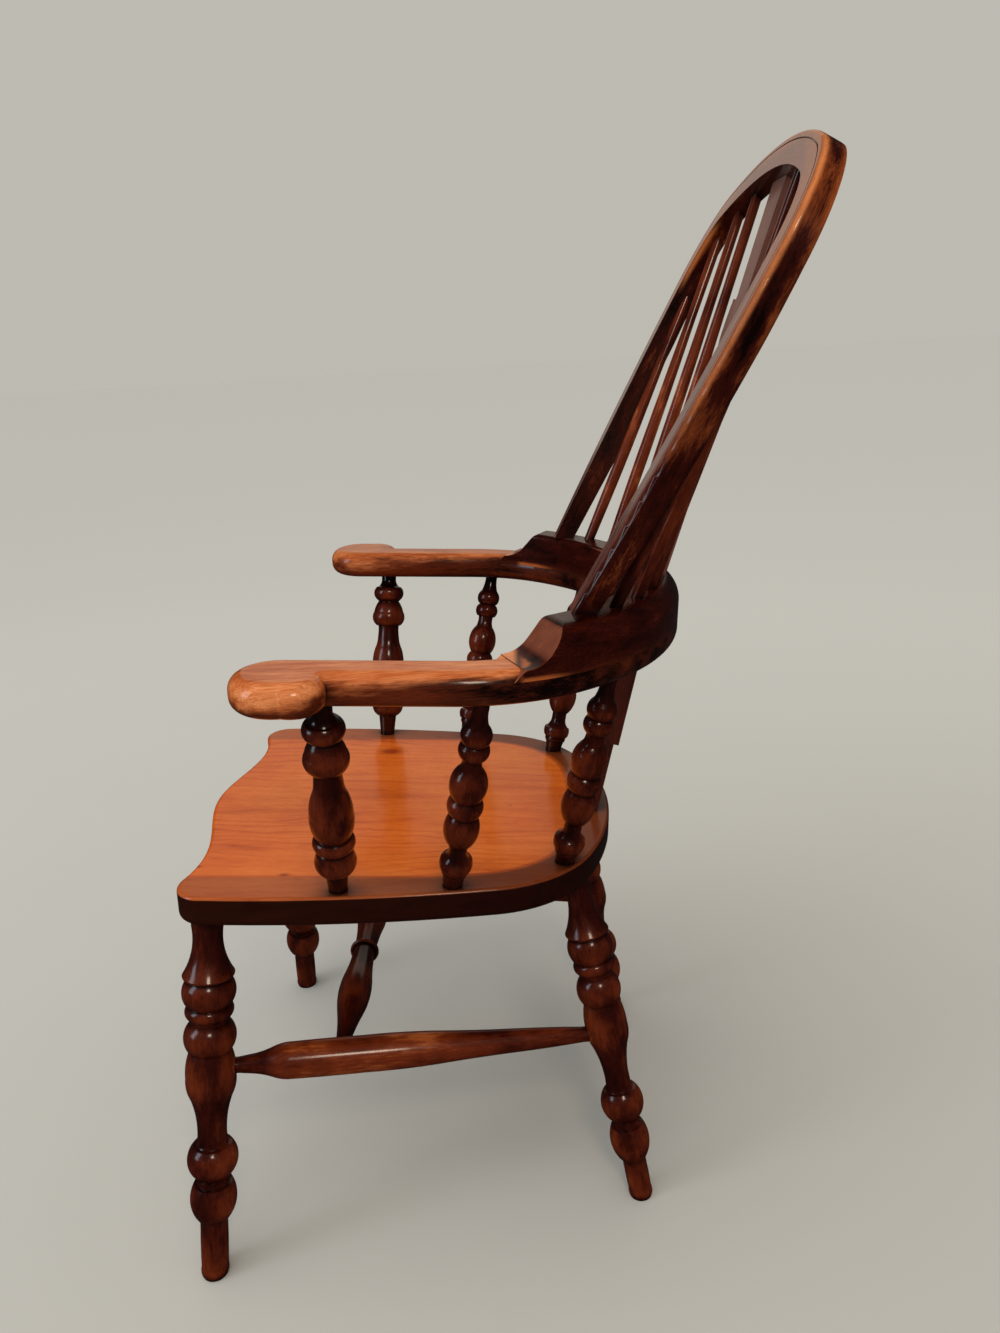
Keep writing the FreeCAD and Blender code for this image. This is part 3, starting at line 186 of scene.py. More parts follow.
# %% [markdown]
# Every piece of wood has its own direction of grain, and a pattern follows it only if the coordinates are
# turned to it. A turned leg leans two ways at once, so its axis is measured from the packed mesh: the middle
# of the points at one end, and the middle of those at the other. A Mapping node then lays the piece's own z
# along that axis, and every stretch in the patterns below is a stretch along z.

# %% Grain directions
UP = Vector((0, 0, 1))
END_SHARE = 0.08


def ends_of(name):
    """Middle points of a long piece's two ends."""
    low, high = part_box(name)
    spread = high - low
    way = max(range(3), key=lambda index: spread[index])
    margin = spread[way] * END_SHARE
    points = [vertex.co for vertex in nodes[name].data.vertices]
    first = [p for p in points if p[way] < low[way] + margin]
    last = [p for p in points if p[way] > high[way] - margin]
    return sum(first, Vector()) / len(first), sum(last, Vector()) / len(last)


def along_grain(place, origin, axis):
    """Coordinates in a piece's own frame: from its origin, with z along the grain."""
    turn = axis.rotation_difference(UP)
    values = {"Vector": place, "Location": -(turn @ origin), "Rotation": turn.to_euler()}
    return place.add("Mapping", None, values)


for name in ("leg_front_left", "leg_rear_left", "arm_post_rear_left"):
    bottom, top = ends_of(name)
    print(name, "leans", round(math.degrees((top - bottom).angle(UP)), 1), "degrees")

# %% [markdown]
# Wood has fine fibres, a broader figure of light and dark, and open pores. All three could be drawn as a
# picture, but a picture would have to be wrapped round every turning. Noise fills space instead, so it is the
# same wood wherever the lathe has cut. Here it is stretched along the grain, and a seed moves each piece to
# another part of the noise, as if it came from another plank.

# %% Fibres
STREAK_SCALE = 900
FIGURE_SCALE = 70
PORE_SCALE = 1500
SEED_SHIFT = Vector((0.37, 0.61, 0.83))


def fibres(grain, seed):
    """Fine streaks and broad figure along z, and pores: three numbers from 0 to 1."""
    shifted = grain.vector("ADD", SEED_SHIFT * seed)
    streaks = shifted.stretched(1, 1, 0.030).noise(STREAK_SCALE, 3, 0.6)
    figure = shifted.stretched(1, 1, 0.10).noise(FIGURE_SCALE, 4, 0.55)
    pores = shifted.stretched(1, 1, 0.035).noise(PORE_SCALE, 1, 0.5).step(0.60, 0.72)
    return streaks, figure, pores


print("fibres", round(1000 / STREAK_SCALE, 1), "mm wide, pores", round(1000 / PORE_SCALE, 1), "mm")

# %% [markdown]
# A duster wears the crowns of a turning and pushes dirt into its grooves. Painting both by hand would take a
# map for each of 28 pieces. Ambient Occlusion measures it instead: how open a place is to its surroundings.
# Looking inwards, the same node finds proud edges, because little wood lies behind an edge. The polish is
# shellac and wax over the wood, which the coat of the Principled shader stands for.

# %% Wear and polish
GRIME = (0.0040, 0.0009, 0.0005)
AO_SAMPLES = 8
WOOD_SPECULAR = 0.12
COAT_ROUGHNESS = 0.14
FIBRE_DEPTH = 0.0006


def openness(place, reach):
    """1 on a free surface, towards 0 deep in a groove or a corner."""
    return place.add("AmbientOcclusion", {"samples": AO_SAMPLES}, {"Distance": reach}, "AO")


def proud_edges(place, reach):
    """Towards 1 on an edge or corner that stands out, 0 on flat wood."""
    inwards = {"samples": AO_SAMPLES, "inside": True, "only_local": True}
    return 1 - place.add("AmbientOcclusion", inwards, {"Distance": reach}, "AO")


def dirt_in(place, figure, reach, low, high, unevenness=0.3):
    """Old wax and dust where the surroundings come closer than the reach."""
    return (1.0 - openness(place, reach) + (figure - 0.5) * unevenness).step(low, high)


def grimed(colour, dirt, dirt_share, pores, pore_share):
    return colour.tinted(GRIME, (dirt * dirt_share + pores * pore_share).at_most_one())


def polish(shader, colour, rough, relief, coat, strength):
    """Colour, gloss and a fine relief along the fibres, under a coat."""
    feed(shader.inputs["Base Color"], colour)
    feed(shader.inputs["Roughness"], rough)
    shader.inputs["Specular IOR Level"].default_value = WOOD_SPECULAR
    shader.inputs["Coat Weight"].default_value = coat
    shader.inputs["Coat Roughness"].default_value = COAT_ROUGHNESS
    bump = colour.add("Bump", None, {"Strength": strength, "Distance": FIBRE_DEPTH, "Height": relief})
    feed(shader.inputs["Normal"], bump)


print("fibres stand", FIBRE_DEPTH * 1000, "mm high at most")

# %% [markdown]
# Legs, stretchers, posts and spindles were turned on a lathe, and a hand or a shoe that passes one touches
# its fullest places first. Those crowns could be picked by height, but each turning has its own. The distance
# from the lathe's axis finds them all, if it is measured against the widest place of that very turning.


# %% Crowns
def girth(name, middle, axis):
    """Greatest distance of a turned piece's surface from its axis."""
    return max((vertex.co - middle).cross(axis).length for vertex in nodes[name].data.vertices)


def distance_from_axis(grain):
    across = grain.stretched(1, 1, 0)
    return across.vector("LENGTH", (0, 0, 0), "Value")


bottom, top = ends_of("leg_front_left")
leg_girth = girth("leg_front_left", (bottom + top) / 2, (top - bottom).normalized())
print("the front leg is", round(2000 * leg_girth, 1), "mm thick at its widest")

# %% [markdown]
# The turnings are stained a red that is nearly black. The stain is one tone that climbs a ramp from black
# over red to bare orange. A full crown, a patch of wear and the feet, which shoes and mops reach, raise the
# tone, and it is lower where other wood comes within a few centimetres. Each kind of turning has its own
# warmth, which says how much stain it has lost on the whole.

# %% Turned pieces
BLACK_STAIN = (0.0035, 0.0005, 0.0003)
RED_STAIN = (0.0330, 0.0030, 0.0010)
WARM_STAIN = (0.1350, 0.0200, 0.0040)
WORN_STAIN = (0.4200, 0.1050, 0.0240)
FOOT_WEAR_HEIGHT = 0.13
WARMTHS = {"spindle_left": 0.40, "spindle_right": 0.52, "arm_post": 0.32, "leg": 0.35, "side": 0.51,
           "cross": 0.36}


def turned_wood(name, seed, warmth):
    """Dark red stain on a turned piece, worn to orange where the turning is fullest."""
    material, shader, place = new_material(name)
    bottom, top = ends_of(name)
    axis = (top - bottom).normalized()
    middle = (bottom + top) / 2
    widest = girth(name, middle, axis)
    grain = along_grain(place, middle, axis)
    streaks, figure, pores = fibres(grain, seed)
    mottle = grain.stretched(1, 1, 0.35).noise(130, 5, 0.7) - 0.5
    blotch = grain.stretched(1, 1, 0.55).noise(28, 3, 0.55) - 0.5
    crown = distance_from_axis(grain).step(widest * 0.55, widest)
    # Lower where other wood comes within 25 mm of the surface.
    exposed = openness(place, 0.025).step(0.30, 1.0)
    foot = 1 - place.part("Z").step(0.0, FOOT_WEAR_HEIGHT)
    tone = exposed * 0.30 + crown * 0.20 + blotch * 1.0 + mottle * 0.35 + (streaks - 0.5) * 0.35
    tone = tone + foot * 0.30 + (warmth - 0.28)
    colour = tone.ramp((0.12, BLACK_STAIN), (0.42, RED_STAIN), (0.74, WARM_STAIN), (1.0, WORN_STAIN))
    rubbed = (proud_edges(place, 0.005) + crown * 0.25 + mottle * 1.4 + blotch * 1.1).step(0.60, 1.05)
    colour = colour.tinted(WORN_STAIN, rubbed * 0.6)
    dirt = dirt_in(place, figure, 0.010, 0.22, 0.60)
    colour = grimed(colour, dirt, 0.94, pores, 0.35)
    rough = 0.22 + (mottle + 0.5) * 0.14 + dirt * 0.25
    relief = streaks * 0.3 + figure * 0.3 - pores * 0.4 + mottle * 0.2
    polish(shader, colour, rough, relief, 0.6, 0.3)
    return material


TURNED = [name for name in nodes if name.startswith(("leg_", "arm_post_", "spindle_")) or "stretcher" in name]
for seed, name in enumerate(sorted(TURNED)):
    warmth = next(WARMTHS[kind] for kind in WARMTHS if name.startswith(kind))
    nodes[name].data.materials[0] = turned_wood(name, seed, warmth)
print(len(TURNED), "turned pieces have their own grain")

# %% [markdown]
# The seat is one elm plank with its grain running from front to back. Elm shows wide arches where the saw
# cut across the yearly rings. A wood picture would repeat, so the rings are worked out instead: the distance
# of a place from a line deep under the plank, bent by noise, and folded into rings by a sine. Small knots
# pull the rings aside.

# %% Elm figure
ELM_LIGHT = (0.700, 0.175, 0.024)
ELM_MID = (0.520, 0.090, 0.008)
ELM_DARK = (0.240, 0.026, 0.003)
PITH_HEIGHT = 0.36
RING_SINE_RATE = 520
KNOT_SQUASH = 0.6
KNOTS = ((-0.147, -0.143, 0.020), (-0.201, -0.202, 0.008), (-0.201, -0.080, 0.007), (0.188, -0.219, 0.007),
         (0.197, -0.203, 0.006), (0.170, -0.315, 0.006), (0.020, 0.020, 0.005))


def elm_rings(place, warp):
    """Rings as dark lines, and the knots that bend them: two numbers from 0 to 1."""
    wobble = place.stretched(1, 0.2, 1).noise(40, 2, 0.5) - 0.5
    flat = place.stretched(1, KNOT_SQUASH, 0)
    across = place.part("X") + warp * 0.14 + wobble * 0.012
    below = place.part("Z") - PITH_HEIGHT + place.part("Y") * 0.10 + warp * 0.05
    rings = (across * across + below * below) ** 0.5
    knots = 0
    for x, y, radius in KNOTS:
        offset = flat.vector("DISTANCE", (x, y * KNOT_SQUASH, 0), "Value")
        knot = (1 - (offset + wobble * 0.008).step(0.0, radius)) ** 2
        rings = rings + knot * (radius * 0.6)
        knots = knot.math("MAXIMUM", knots)
    band = ((rings * RING_SINE_RATE).math("SINE") * 0.5 + 0.5) ** 5
    return band, knots


print(len(KNOTS), "knots, rings", round(1000 * 2 * math.pi / RING_SINE_RATE, 1), "mm apart")

# %% [markdown]
# The hollow for the sitter ends at a carved line. Inside it the wood is polished to a deep orange, outside it
# is duller, and browner towards the back, where no sleeve ever rubbed it. The line could be read from the
# mesh, but a formula is shorter: it is a rounded square, like the one that the hollow was carved to. Its two
# sides run straight forwards, so only what lies behind their ends counts towards the curve.

# %% Seat
ELM_RIM = (0.360, 0.084, 0.019)
ELM_RIM_DARK = (0.200, 0.030, 0.005)
ELM_RIM_BACK = (0.080, 0.016, 0.005)
ELM_EDGE = (0.0150, 0.0014, 0.0006)
HOLLOW_HALF_WIDTH = 0.191
HOLLOW_STRAIGHT = seat_high.y - 0.267
HOLLOW_BACK = 0.220
SQUARENESS = 3.4
RIM_BROWN_FROM = seat_high.y - 0.40
RIM_BROWN_TO = seat_high.y - 0.12


def rounded_square(first, second):
    """1 along a rounded square, less inside it: both numbers are 1 where they reach its sides."""
    return (first ** SQUARENESS + second ** SQUARENESS) ** (1 / SQUARENESS)


def elm_seat():
    material, shader, place = new_material("seat_elm")
    grain = along_grain(place, Vector((0.03, 0, 0.30)), Vector((0, 1, 0)))
    streaks, figure, pores = fibres(grain, 3)
    warp = place.stretched(1, 0.25, 1).noise(7, 3, 0.5) - 0.5
    band, knots = elm_rings(place, warp)
    faded = place.stretched(1, 0.3, 1).noise(12, 2, 0.5).step(0.30, 0.65)
    tone = 0.56 + (figure - 0.5) * 0.40 + (streaks - 0.5) * 0.45 + (place.noise(5, 3, 0.5) - 0.5) * 0.70
    tone = tone - band * faded * 0.15
    colour = tone.ramp((0.12, ELM_DARK), (0.48, ELM_MID), (0.85, ELM_LIGHT))
    colour = colour.tinted(ELM_DARK, (knots * 1.2).math("MINIMUM", 0.9))
    # The rim outside the hollow, and the carved line between them
    aside = place.part("X").math("ABSOLUTE") * (1 / HOLLOW_HALF_WIDTH)
    behind = (place.part("Y") - HOLLOW_STRAIGHT).math("MAXIMUM", 0) * (1 / HOLLOW_BACK)
    out = rounded_square(aside, behind)
    back = (place.part("Y") + warp * 0.15).step(RIM_BROWN_FROM, RIM_BROWN_TO)
    rim = tone.ramp((0.2, ELM_RIM_DARK), (0.7, ELM_RIM)).tinted(ELM_RIM_BACK, back)
    colour = colour.tinted(rim, out.step(0.985, 1.025) * 0.88)
    colour = colour.tinted(ELM_DARK, out.near(1.0, 0.022) * (figure + 0.1) * 0.75)
    # Grime round the posts, the dark sawn side, and its upper edge, worn and also painted lighter as a
    # highlight
    dirt = dirt_in(place, figure, 0.040, 0.10, 0.62)
    colour = grimed(colour, dirt, 0.88, pores, 0.22)
    up = place.add("NewGeometry", output="Normal").part("Z")
    side = (1 - up.step(0.10, 0.70) + (figure - 0.5) * 0.5).step(0.25, 0.75)
    colour = colour.tinted((tone - 0.1).ramp((0.2, BLACK_STAIN), (0.6, ELM_EDGE)), side * 0.97)
    # Lighter along the upper edge: partly wear, partly a painted highlight.
    edge = proud_edges(place, 0.006).step(0.35, 0.95)
    colour = colour.tinted(ELM_RIM, edge * (streaks + 0.1) * 0.6 * up.step(-0.1, 0.2))
    rough = 0.16 + figure * 0.10 + out.step(0.99, 1.02) * 0.12 + dirt * 0.25
    polish(shader, colour, rough, streaks * 0.25 + band * 0.1 - pores * 0.4, 0.5, 0.25)
    return material


nodes["seat"].data.materials[0] = elm_seat()
print("hollow", round(2 * HOLLOW_HALF_WIDTH, 3), "m wide, curved from y", round(HOLLOW_STRAIGHT, 3))

# %% [markdown]
# Hands and sleeves have rubbed the stain off the tops of the arms, while the sides and undersides keep it.
# Their bare tan is also painted bright enough to hold the gloss highlight of the tops.
# A mask from the surface's direction alone would end in a ruled line, so noise along the grain roughens it.
# The near arm was used more than the far one, and towards the back neither was touched much: the sides keep
# their stain from further forward than the top does.

# %% Arms
# The tan is bare wood, painted bright enough to include the tops' gloss highlight.
ARM_TAN_WITH_HIGHLIGHT = (0.780, 0.300, 0.110)
ARM_ORANGE = (0.430, 0.095, 0.020)
ARM_BROWN = (0.120, 0.0180, 0.0045)
ARM_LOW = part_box("arm_left")[0].z
KNUCKLE_FROM = seat_low.y + 0.17
KNUCKLE_TO = seat_low.y + 0.22
ARM_USE = {"arm_left": 0.34, "arm_right": 0.20}


def arm_wood(name, side, use):
    """Stained wood that shows its bare tan wherever a hand has rested."""
    material, shader, place = new_material(name)
    grain = along_grain(place, Vector((0.1 * side, 0, 0.7)), Vector((-0.10 * side, 1, 0)).normalized())
    streaks, figure, pores = fibres(grain, 11 + side)
    mottle = grain.stretched(1, 1, 0.30).noise(30, 5, 0.65) - 0.5
    up = place.add("NewGeometry", output="Normal").part("Z")
    along = place.part("Y") + mottle * 0.06
    back = along.step(seat_high.y - 0.26, seat_high.y - 0.12)
    top_back = along.step(seat_high.y - 0.12, seat_high.y - 0.04)
    knuckle = 1 - place.part("Y").step(KNUCKLE_FROM, KNUCKLE_TO)
    upper = place.part("Z").step(ARM_LOW + 0.004, ARM_LOW + 0.024)
    tone = streaks * 0.40 + figure * 0.45 + mottle * 0.5 + 0.08
    fresh = tone.ramp((0.26, ARM_BROWN), (0.46, ARM_ORANGE), (0.70, ARM_TAN_WITH_HIGHLIGHT))
    stain = (tone - back * 0.16).ramp((0.26, BLACK_STAIN), (0.58, ARM_BROWN), (0.85, WARM_STAIN))
    bare = up * 1.3 + upper * 0.5 + knuckle * use * 1.6 + mottle * 2.6 + (figure - 0.5) * 1.6 + use - 0.55
    bare = bare - back * (1 - up.math("MAXIMUM", 0)) * 1.6 - top_back * 1.5
    colour = stain.tinted(fresh, bare.step(0.0, 1.1) * (use + 0.62))
    rubbed = (proud_edges(place, 0.008) + mottle).step(0.55, 1.0)
    colour = colour.tinted(WORN_STAIN, rubbed * 0.35)
    dirt = dirt_in(place, figure, 0.026, 0.18, 0.62, 0.5)
    colour = grimed(colour, dirt, 0.92, pores, 0.28)
    rough = 0.22 + (mottle + 0.5) * 0.14 + dirt * 0.2
    polish(shader, colour, rough, streaks * 0.3 + figure * 0.3 - pores * 0.4, 0.5, 0.35)
    return material


for name, use in ARM_USE.items():
    side = 1 if name == "arm_left" else -1
    nodes[name].data.materials[0] = arm_wood(name, side, use)
print("arms start", round(ARM_LOW, 3), "m above the floor")

# %% [markdown]
# The back rail is sawn to its curve from a thick board, and it is the darkest piece. Its fibres run straight
# across the chair, but what shows under so dark a stain are streaks of polish, and dusters drew those round
# the curve. So its coordinates are wound about the bend: distance from the middle, height, and angle. The
# slanting ends, where every hand slides off the arm, are brown with worn edges, and the tan of the arm runs
# up their hollow foot.

# %% Back rail
FACET_WAY = (0, -0.74, 0.67)
FACET_BROWN = (0.240, 0.070, 0.036)
RAIL_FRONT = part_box("back_rail")[0].y
BEND_MIDDLE = Vector((0, RAIL_FRONT - 0.02, 0.70))
BEND_RADIUS = 0.25


def round_the_bend(place):
    """Coordinates with z following the rail's bend."""
    across = along_grain(place, BEND_MIDDLE, UP)
    turn = across.part("X").math("ARCTAN2", across.part("Y")) * BEND_RADIUS
    values = {"X": distance_from_axis(across), "Y": across.part("Z"), "Z": turn}
    return place.add("CombineXYZ", None, values)


def rail_wood():
    """Nearly black, with streaks round the bend; the slanting ends are brown and their edges worn."""
    material, shader, place = new_material("back_rail")
    grain = round_the_bend(place)
    streaks, figure, pores = fibres(grain, 21)
    broad = grain.stretched(1, 1, 0.2).noise(60, 4, 0.6) - 0.5
    tone = (streaks - 0.5) * 0.5 + figure * 0.45 + broad * 0.8 + 0.12
    colour = tone.ramp((0.15, BLACK_STAIN), (0.45, RED_STAIN), (0.85, WARM_STAIN))
    normal = place.add("NewGeometry", output="Normal")
    facet = normal.vector("DOT_PRODUCT", FACET_WAY, "Value").step(0.90, 0.97)
    colour = colour.tinted(FACET_BROWN, facet * (figure * 0.8 + 0.45).at_most_one())
    along = place.part("Y") - RAIL_FRONT
    foot = (1 - along.step(0.020, 0.028)) * normal.part("Z").step(0.3, 0.7)
    # The arm's tan here also carries that painted highlight.
    worn_foot = (streaks * 0.5 + figure * 0.5).ramp((0.30, ARM_ORANGE), (0.65, ARM_TAN_WITH_HIGHLIGHT))
    colour = colour.tinted(worn_foot, foot * 0.85)
    front = along.step(0.026, 0.034) * (1 - along.step(0.05, 0.08))
    edges = (proud_edges(place, 0.004) + (figure - 0.5) * 0.5).step(0.35, 0.75)
    colour = colour.tinted(WORN_STAIN, edges * (front * 0.75 + 0.04))
    dirt = dirt_in(place, figure, 0.012, 0.25, 0.65)
    colour = grimed(colour, dirt, 0.92, pores, 0.4)
    rough = 0.20 + figure * 0.12 + dirt * 0.2
    polish(shader, colour, rough, streaks * 0.3 + figure * 0.3 - pores * 0.4, 0.4, 0.3)
    return material


nodes["back_rail"].data.materials[0] = rail_wood()
print("rail begins at y", round(RAIL_FRONT, 3))

# %% [markdown]
# The two splats are thin boards with upright grain, sawn out with a fretsaw. The lower one is out of reach
# and has kept its dark stain. The upper one has a thin greyish bloom on its polish. That could be a second,
# rough coat, but here it is simply a paler, duller colour, which looks the same and exports better. The pale
# grey also stands for the sheen that such a coat would show, so it is partly a painted sheen.

# %% Splats
BLOOM_AND_SHEEN_DARK = (0.060, 0.0140, 0.0085)
BLOOM_AND_SHEEN_LIGHT = (0.230, 0.0900, 0.0660)
SPLAT_DARK = (0.006, 0.0010, 0.0006)
SPLAT_LIGHT = (0.085, 0.0130, 0.0060)


def splat_wood(name, seed, dark, light):
    material, shader, place = new_material(name)
    bottom, top = ends_of(name)
    grain = along_grain(place, bottom, (top - bottom).normalized())
    streaks, figure, pores = fibres(grain, seed)
    tone = streaks * 0.35 + figure * 0.45 + grain.noise(18, 3, 0.5) * 0.3
    colour = tone.ramp((0.25, dark), (0.75, light))
    dirt = dirt_in(place, figure, 0.012, 0.30, 0.75)
    colour = grimed(colour, dirt, 0.85, pores, 0.2)
    rubbed = (proud_edges(place, 0.005) + (streaks - 0.5)).step(0.6, 1.05)
    colour = colour.tinted(WORN_STAIN, rubbed * 0.4)
    polish(shader, colour, 0.34 + figure * 0.12, streaks * 0.3 + figure * 0.3 - pores * 0.3, 0.3, 0.35)
    return material


# The upper splat's pale grey is partly its bloom and partly a painted sheen.
nodes["splat_upper"].data.materials[0] = splat_wood("splat_upper", 31, BLOOM_AND_SHEEN_DARK, BLOOM_AND_SHEEN_LIGHT)
nodes["splat_lower"].data.materials[0] = splat_wood("splat_lower", 32, SPLAT_DARK, SPLAT_LIGHT)
print("splats lean", [round(math.degrees((ends_of(name)[1] - ends_of(name)[0]).angle(UP)), 1)
                      for name in ("splat_upper", "splat_lower")], "degrees")

# %% [markdown]
# The hoop was steamed and bent, so its grain runs round with it. Straight coordinates can't follow that. In
# the hoop's own plane a rounded square has nearly the hoop's outline, so one number says how far out a point
# is, and height less distance from the middle grows steadily from each foot to the crown. These two and the
# depth make coordinates that bend with the wood.

# %% Grain of the hoop
HOOP_LEAN = math.radians(29.6)
HOOP_SQUARE_FROM = 0.10
HOOP_FRONT_WAY = Vector((0, -math.cos(HOOP_LEAN), math.sin(HOOP_LEAN)))
hoop_low, hoop_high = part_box("hoop")
HOOP_FOOT = Vector((0, hoop_low.y + 0.02, hoop_low.z + 0.03))
HOOP_RISE = (hoop_high.z - HOOP_FOOT.z) / math.cos(HOOP_LEAN)
HOOP_DEPTHS = [vertex.co.dot(HOOP_FRONT_WAY) for vertex in nodes["hoop"].data.vertices]


def hoop_places(place):
    """How far out a point is, how high, how deep behind the face, and coordinates that bend with the hoop."""
    plane = along_grain(place, HOOP_FOOT, Vector((0, math.sin(HOOP_LEAN), math.cos(HOOP_LEAN))))
    aside = plane.part("X").math("ABSOLUTE")
    height = plane.part("Z")
    top = (height - HOOP_SQUARE_FROM).math("MAXIMUM", 0) * (1 / (HOOP_RISE - HOOP_SQUARE_FROM))
    out = rounded_square(aside * (1 / hoop_high.x), top)
    values = {"X": out * hoop_high.x, "Y": plane.part("Y"), "Z": height - aside}
    grain = plane.add("CombineXYZ", None, values)
    forwards = place.vector("DOT_PRODUCT", HOOP_FRONT_WAY, "Value")
    deep = (max(HOOP_DEPTHS) - forwards) * (1 / (max(HOOP_DEPTHS) - min(HOOP_DEPTHS)))
    return out, height, deep, grain


print("hoop", round(HOOP_RISE, 3), "m up its slope, depth", round(max(HOOP_DEPTHS) - min(HOOP_DEPTHS), 3))

# %% [markdown]
# The hoop shows three finishes. Its flat face has a grey bloom like the splat, painted pale enough to carry a
# sheen as well. The bead at the face's outer edge is worn to an orange line, painted bright enough to be its
# highlight too. Its outer side is stained nearly black in the middle and worn towards both edges, most where
# it was gripped to carry the chair. Each finish is a mask from the numbers above, so the three keep to their
# places all the way round.

# %% Hoop
HOOP_ORANGE = (0.300, 0.066, 0.012)
BEAD_WEAR_AND_HIGHLIGHT = (0.620, 0.200, 0.060)
FACE_DARK = (0.050, 0.0095, 0.0060)
FACE_LIGHT = (0.270, 0.1000, 0.0720)


def hoop_wood():
    material, shader, place = new_material("hoop")
    out, height, deep, grain = hoop_places(place)
    streaks, figure, pores = fibres(grain, 41)
    mottle = grain.stretched(1, 1, 0.25).noise(40, 5, 0.65) - 0.5
    outer = out.step(0.93, 0.965)
    handled = height.step(0.12, 0.52)
    rim = deep.step(0.50, 1.0) * 0.42 + (1 - deep.step(0.10, 0.42)) * 0.30
    crown = height.step(0.30, 0.55) * 0.10
    tone = streaks * 0.40 + figure * 0.40 + mottle * 1.1 + (rim + 0.04 + crown) * outer * handled - 0.08
    side = tone.ramp((0.16, BLACK_STAIN), (0.40, RED_STAIN), (0.80, HOOP_ORANGE))
    # The face's pale grey is partly bloom and partly a painted sheen.
    face = (streaks * 0.35 + figure * 0.4 + mottle * 0.5 + handled * 0.15)
    face = face.ramp((0.20, FACE_DARK), (0.75, FACE_LIGHT))
    normal = place.add("NewGeometry", output="Normal")
    facing = normal.vector("DOT_PRODUCT", HOOP_FRONT_WAY, "Value")
    colour = side.tinted(face, facing.step(0.80, 0.97))
    # The bead's bright orange is partly wear and partly a painted highlight.
    bead = deep.near(0.10, 0.16) * outer * (streaks * 0.5 + 0.75).at_most_one()
    colour = colour.tinted(BEAD_WEAR_AND_HIGHLIGHT, bead * 0.9 * (handled * 0.75 + 0.25))
    dirt = dirt_in(place, figure, 0.014, 0.25, 0.70)
    colour = grimed(colour, dirt, 0.90, pores, 0.35)
    rough = 0.22 + (mottle + 0.5) * 0.14 + dirt * 0.2
    polish(shader, colour, rough, streaks * 0.3 + figure * 0.3 - pores * 0.4, 0.5, 0.35)
    return material


nodes["hoop"].data.materials[0] = hoop_wood()
print("hoop's material has", len(nodes["hoop"].data.materials[0].node_tree.nodes), "nodes")

# %% [markdown]
# The chair stands in a plain studio: a pale grey-green floor that runs into a backdrop of the same colour.
# A curved paper sweep would hide the corner, but a floor far larger than the view, lit evenly, needs no
# corner at all. Polished wood mirrors whatever is round it, and a pale sky and floor would lay a grey veil
# over every dark piece. So a switch on mirrored rays gives the floor the colour of a dim room in reflections.

# %% Floor
FLOOR_NEAR = (0.440, 0.425, 0.380)
FLOOR_FAR = (0.549, 0.530, 0.474)
FLOOR_HALF = 40.0
FLOOR_MIDDLE = (1.2, 0, 0)
ROOM = (0.020, 0.016, 0.015)


def floor_paint():
    """Slightly darker near the chair, so that it looks even under the lamps."""
    material, shader, place = new_material("floor")
    away = place.vector("DISTANCE", FLOOR_MIDDLE, "Value")
    speckle = place.noise(3, 3, 0.5) - 0.5
    colour = (away.step(0.6, 4.0) + speckle * 0.08).ramp((0, FLOOR_NEAR), (1, FLOOR_FAR))
    feed(shader.inputs["Base Color"], colour)
    shader.inputs["Roughness"].default_value = 0.85
    shader.inputs["Specular IOR Level"].default_value = 0.1
    dim = place.add("BsdfDiffuse", None, {"Color": (*ROOM, 1)})
    mirrored = place.add("LightPath", output="Is Glossy Ray")
    both = place.add("MixShader", None, {0: mirrored, 1: Value(shader.outputs[0]), 2: dim})
    feed(material.node_tree.nodes["Material Output"].inputs["Surface"], both)
    return material


shell = bmesh.new()
bmesh.ops.create_grid(shell, x_segments=1, y_segments=1, size=FLOOR_HALF)
floor_mesh = bpy.data.meshes.new("floor")
shell.to_mesh(floor_mesh)
shell.free()
floor_mesh.materials.append(floor_paint())
floor = bpy.data.objects.new("floor", floor_mesh)
bpy.context.scene.collection.objects.link(floor)
print("floor", 2 * FLOOR_HALF, "m square")

# %% [markdown]
# The world is the sky of the studio, and it does three jobs that Light Path tells apart. It lights the chair
# evenly with white. To the camera it shows the backdrop, in the very colour that the far floor renders, so
# that the horizon can't be seen. To mirrored rays it shows the same dim room as the floor does.

# %% Sky
BACKDROP = (0.512, 0.494, 0.442)
SKY_STRENGTH = 0.55


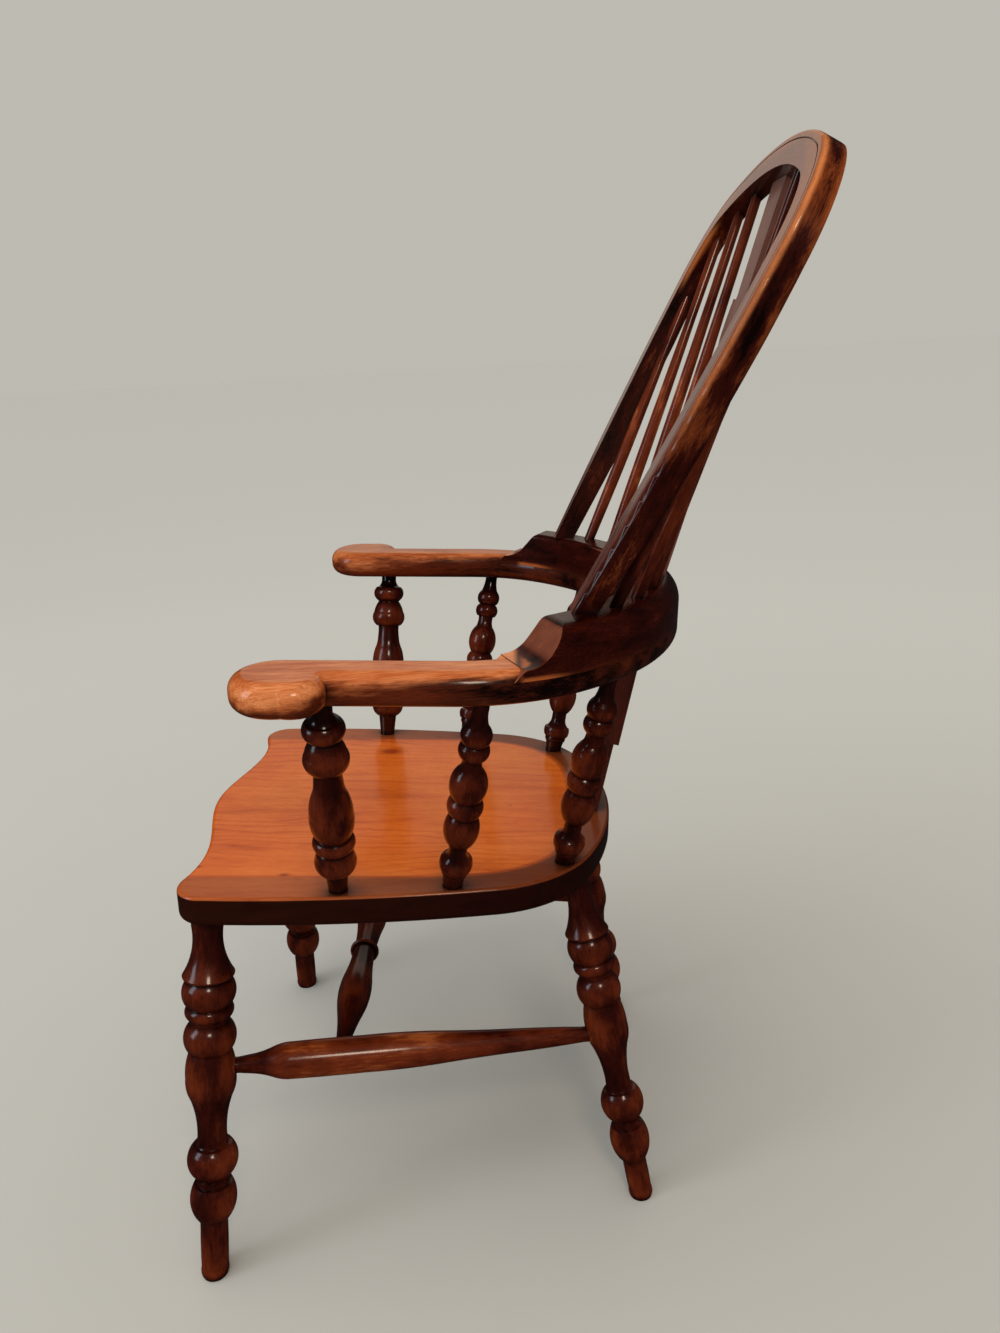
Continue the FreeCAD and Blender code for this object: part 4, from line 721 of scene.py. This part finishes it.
def sky():
    world = bpy.data.worlds.new("studio")
    world.use_nodes = True
    bpy.context.scene.world = world
    tree = world.node_tree
    light = tree.nodes["Background"]
    light.inputs["Color"].default_value = (1, 1, 1, 1)
    light.inputs["Strength"].default_value = SKY_STRENGTH
    from_camera = add_node(tree, "LightPath", output="Is Camera Ray")
    mirrored = add_node(tree, "LightPath", output="Is Glossy Ray")
    room = add_node(tree, "Background", None, {"Color": (*ROOM, 1), "Strength": 1})
    seen = add_node(tree, "Background", None, {"Color": (*BACKDROP, 1), "Strength": 1})
    lit = add_node(tree, "MixShader", None, {0: mirrored, 1: Value(light.outputs[0]), 2: room})
    both = add_node(tree, "MixShader", None, {0: from_camera, 1: lit, 2: seen})
    feed(tree.nodes["World Output"].inputs["Surface"], both)


sky()
bpy.context.scene.view_settings.view_transform = "Standard"
print("sky strength", SKY_STRENGTH)

# %% [markdown]
# The photograph's light is broad and soft, from the left and above, with small warm lamps mirrored in the
# beads and a cool window along the left of each turning. One wide sun casts the soft shadow and stays out of
# the mirror. Two area lamps draw the highlights. A third, beyond the chair, is only ever seen as a mirror
# image: it lays the pale sheen on the seat in which the posts are reflected.

# %% Lamps
AIM = Vector((0, 0, 0.6))
COOL = (0.78, 0.88, 1.0)
WARM = (1.0, 0.80, 0.62)
SHEEN = (1.0, 0.86, 0.72)


def lamp(name, kind, place, energy, colour):
    """A lamp that points at the middle of the chair."""
    data = bpy.data.lights.new(name, kind)
    data.energy = energy
    data.color = colour
    light = bpy.data.objects.new(name, data)
    bpy.context.scene.collection.objects.link(light)
    light.location = place
    light.rotation_mode = "QUATERNION"
    light.rotation_quaternion = (AIM - Vector(place)).to_track_quat("-Z", "Y")
    return light


def area_lamp(name, place, energy, width, height, colour):
    light = lamp(name, "AREA", place, energy, colour)
    light.data.shape = "RECTANGLE"
    light.data.size = width
    light.data.size_y = height
    light.visible_camera = False
    return light


sun = lamp("sun", "SUN", (0.9, -1.0, 3.6), 1.45, (1, 1, 1))
sun.data.angle = math.radians(70)
sun.visible_glossy = False
window = area_lamp("window_left", (1.2, -2.6, 1.8), 22, 0.9, 1.8, COOL)
near_lamp = area_lamp("lamp_near", (2.3, 0.5, 2.4), 20, 0.55, 0.55, WARM)
far_wall = area_lamp("wall_far", (-2.6, -0.1, 1.6), 5.0, 2.4, 1.6, SHEEN)
far_wall.visible_diffuse = False
for light in (sun, window, near_lamp, far_wall):
    print(light.name, round((light.location - AIM).length, 2), "m away, energy", round(light.data.energy, 2))

# %% [markdown]
# Materials and lamps change no size, and nothing stands outside the packed model's box.
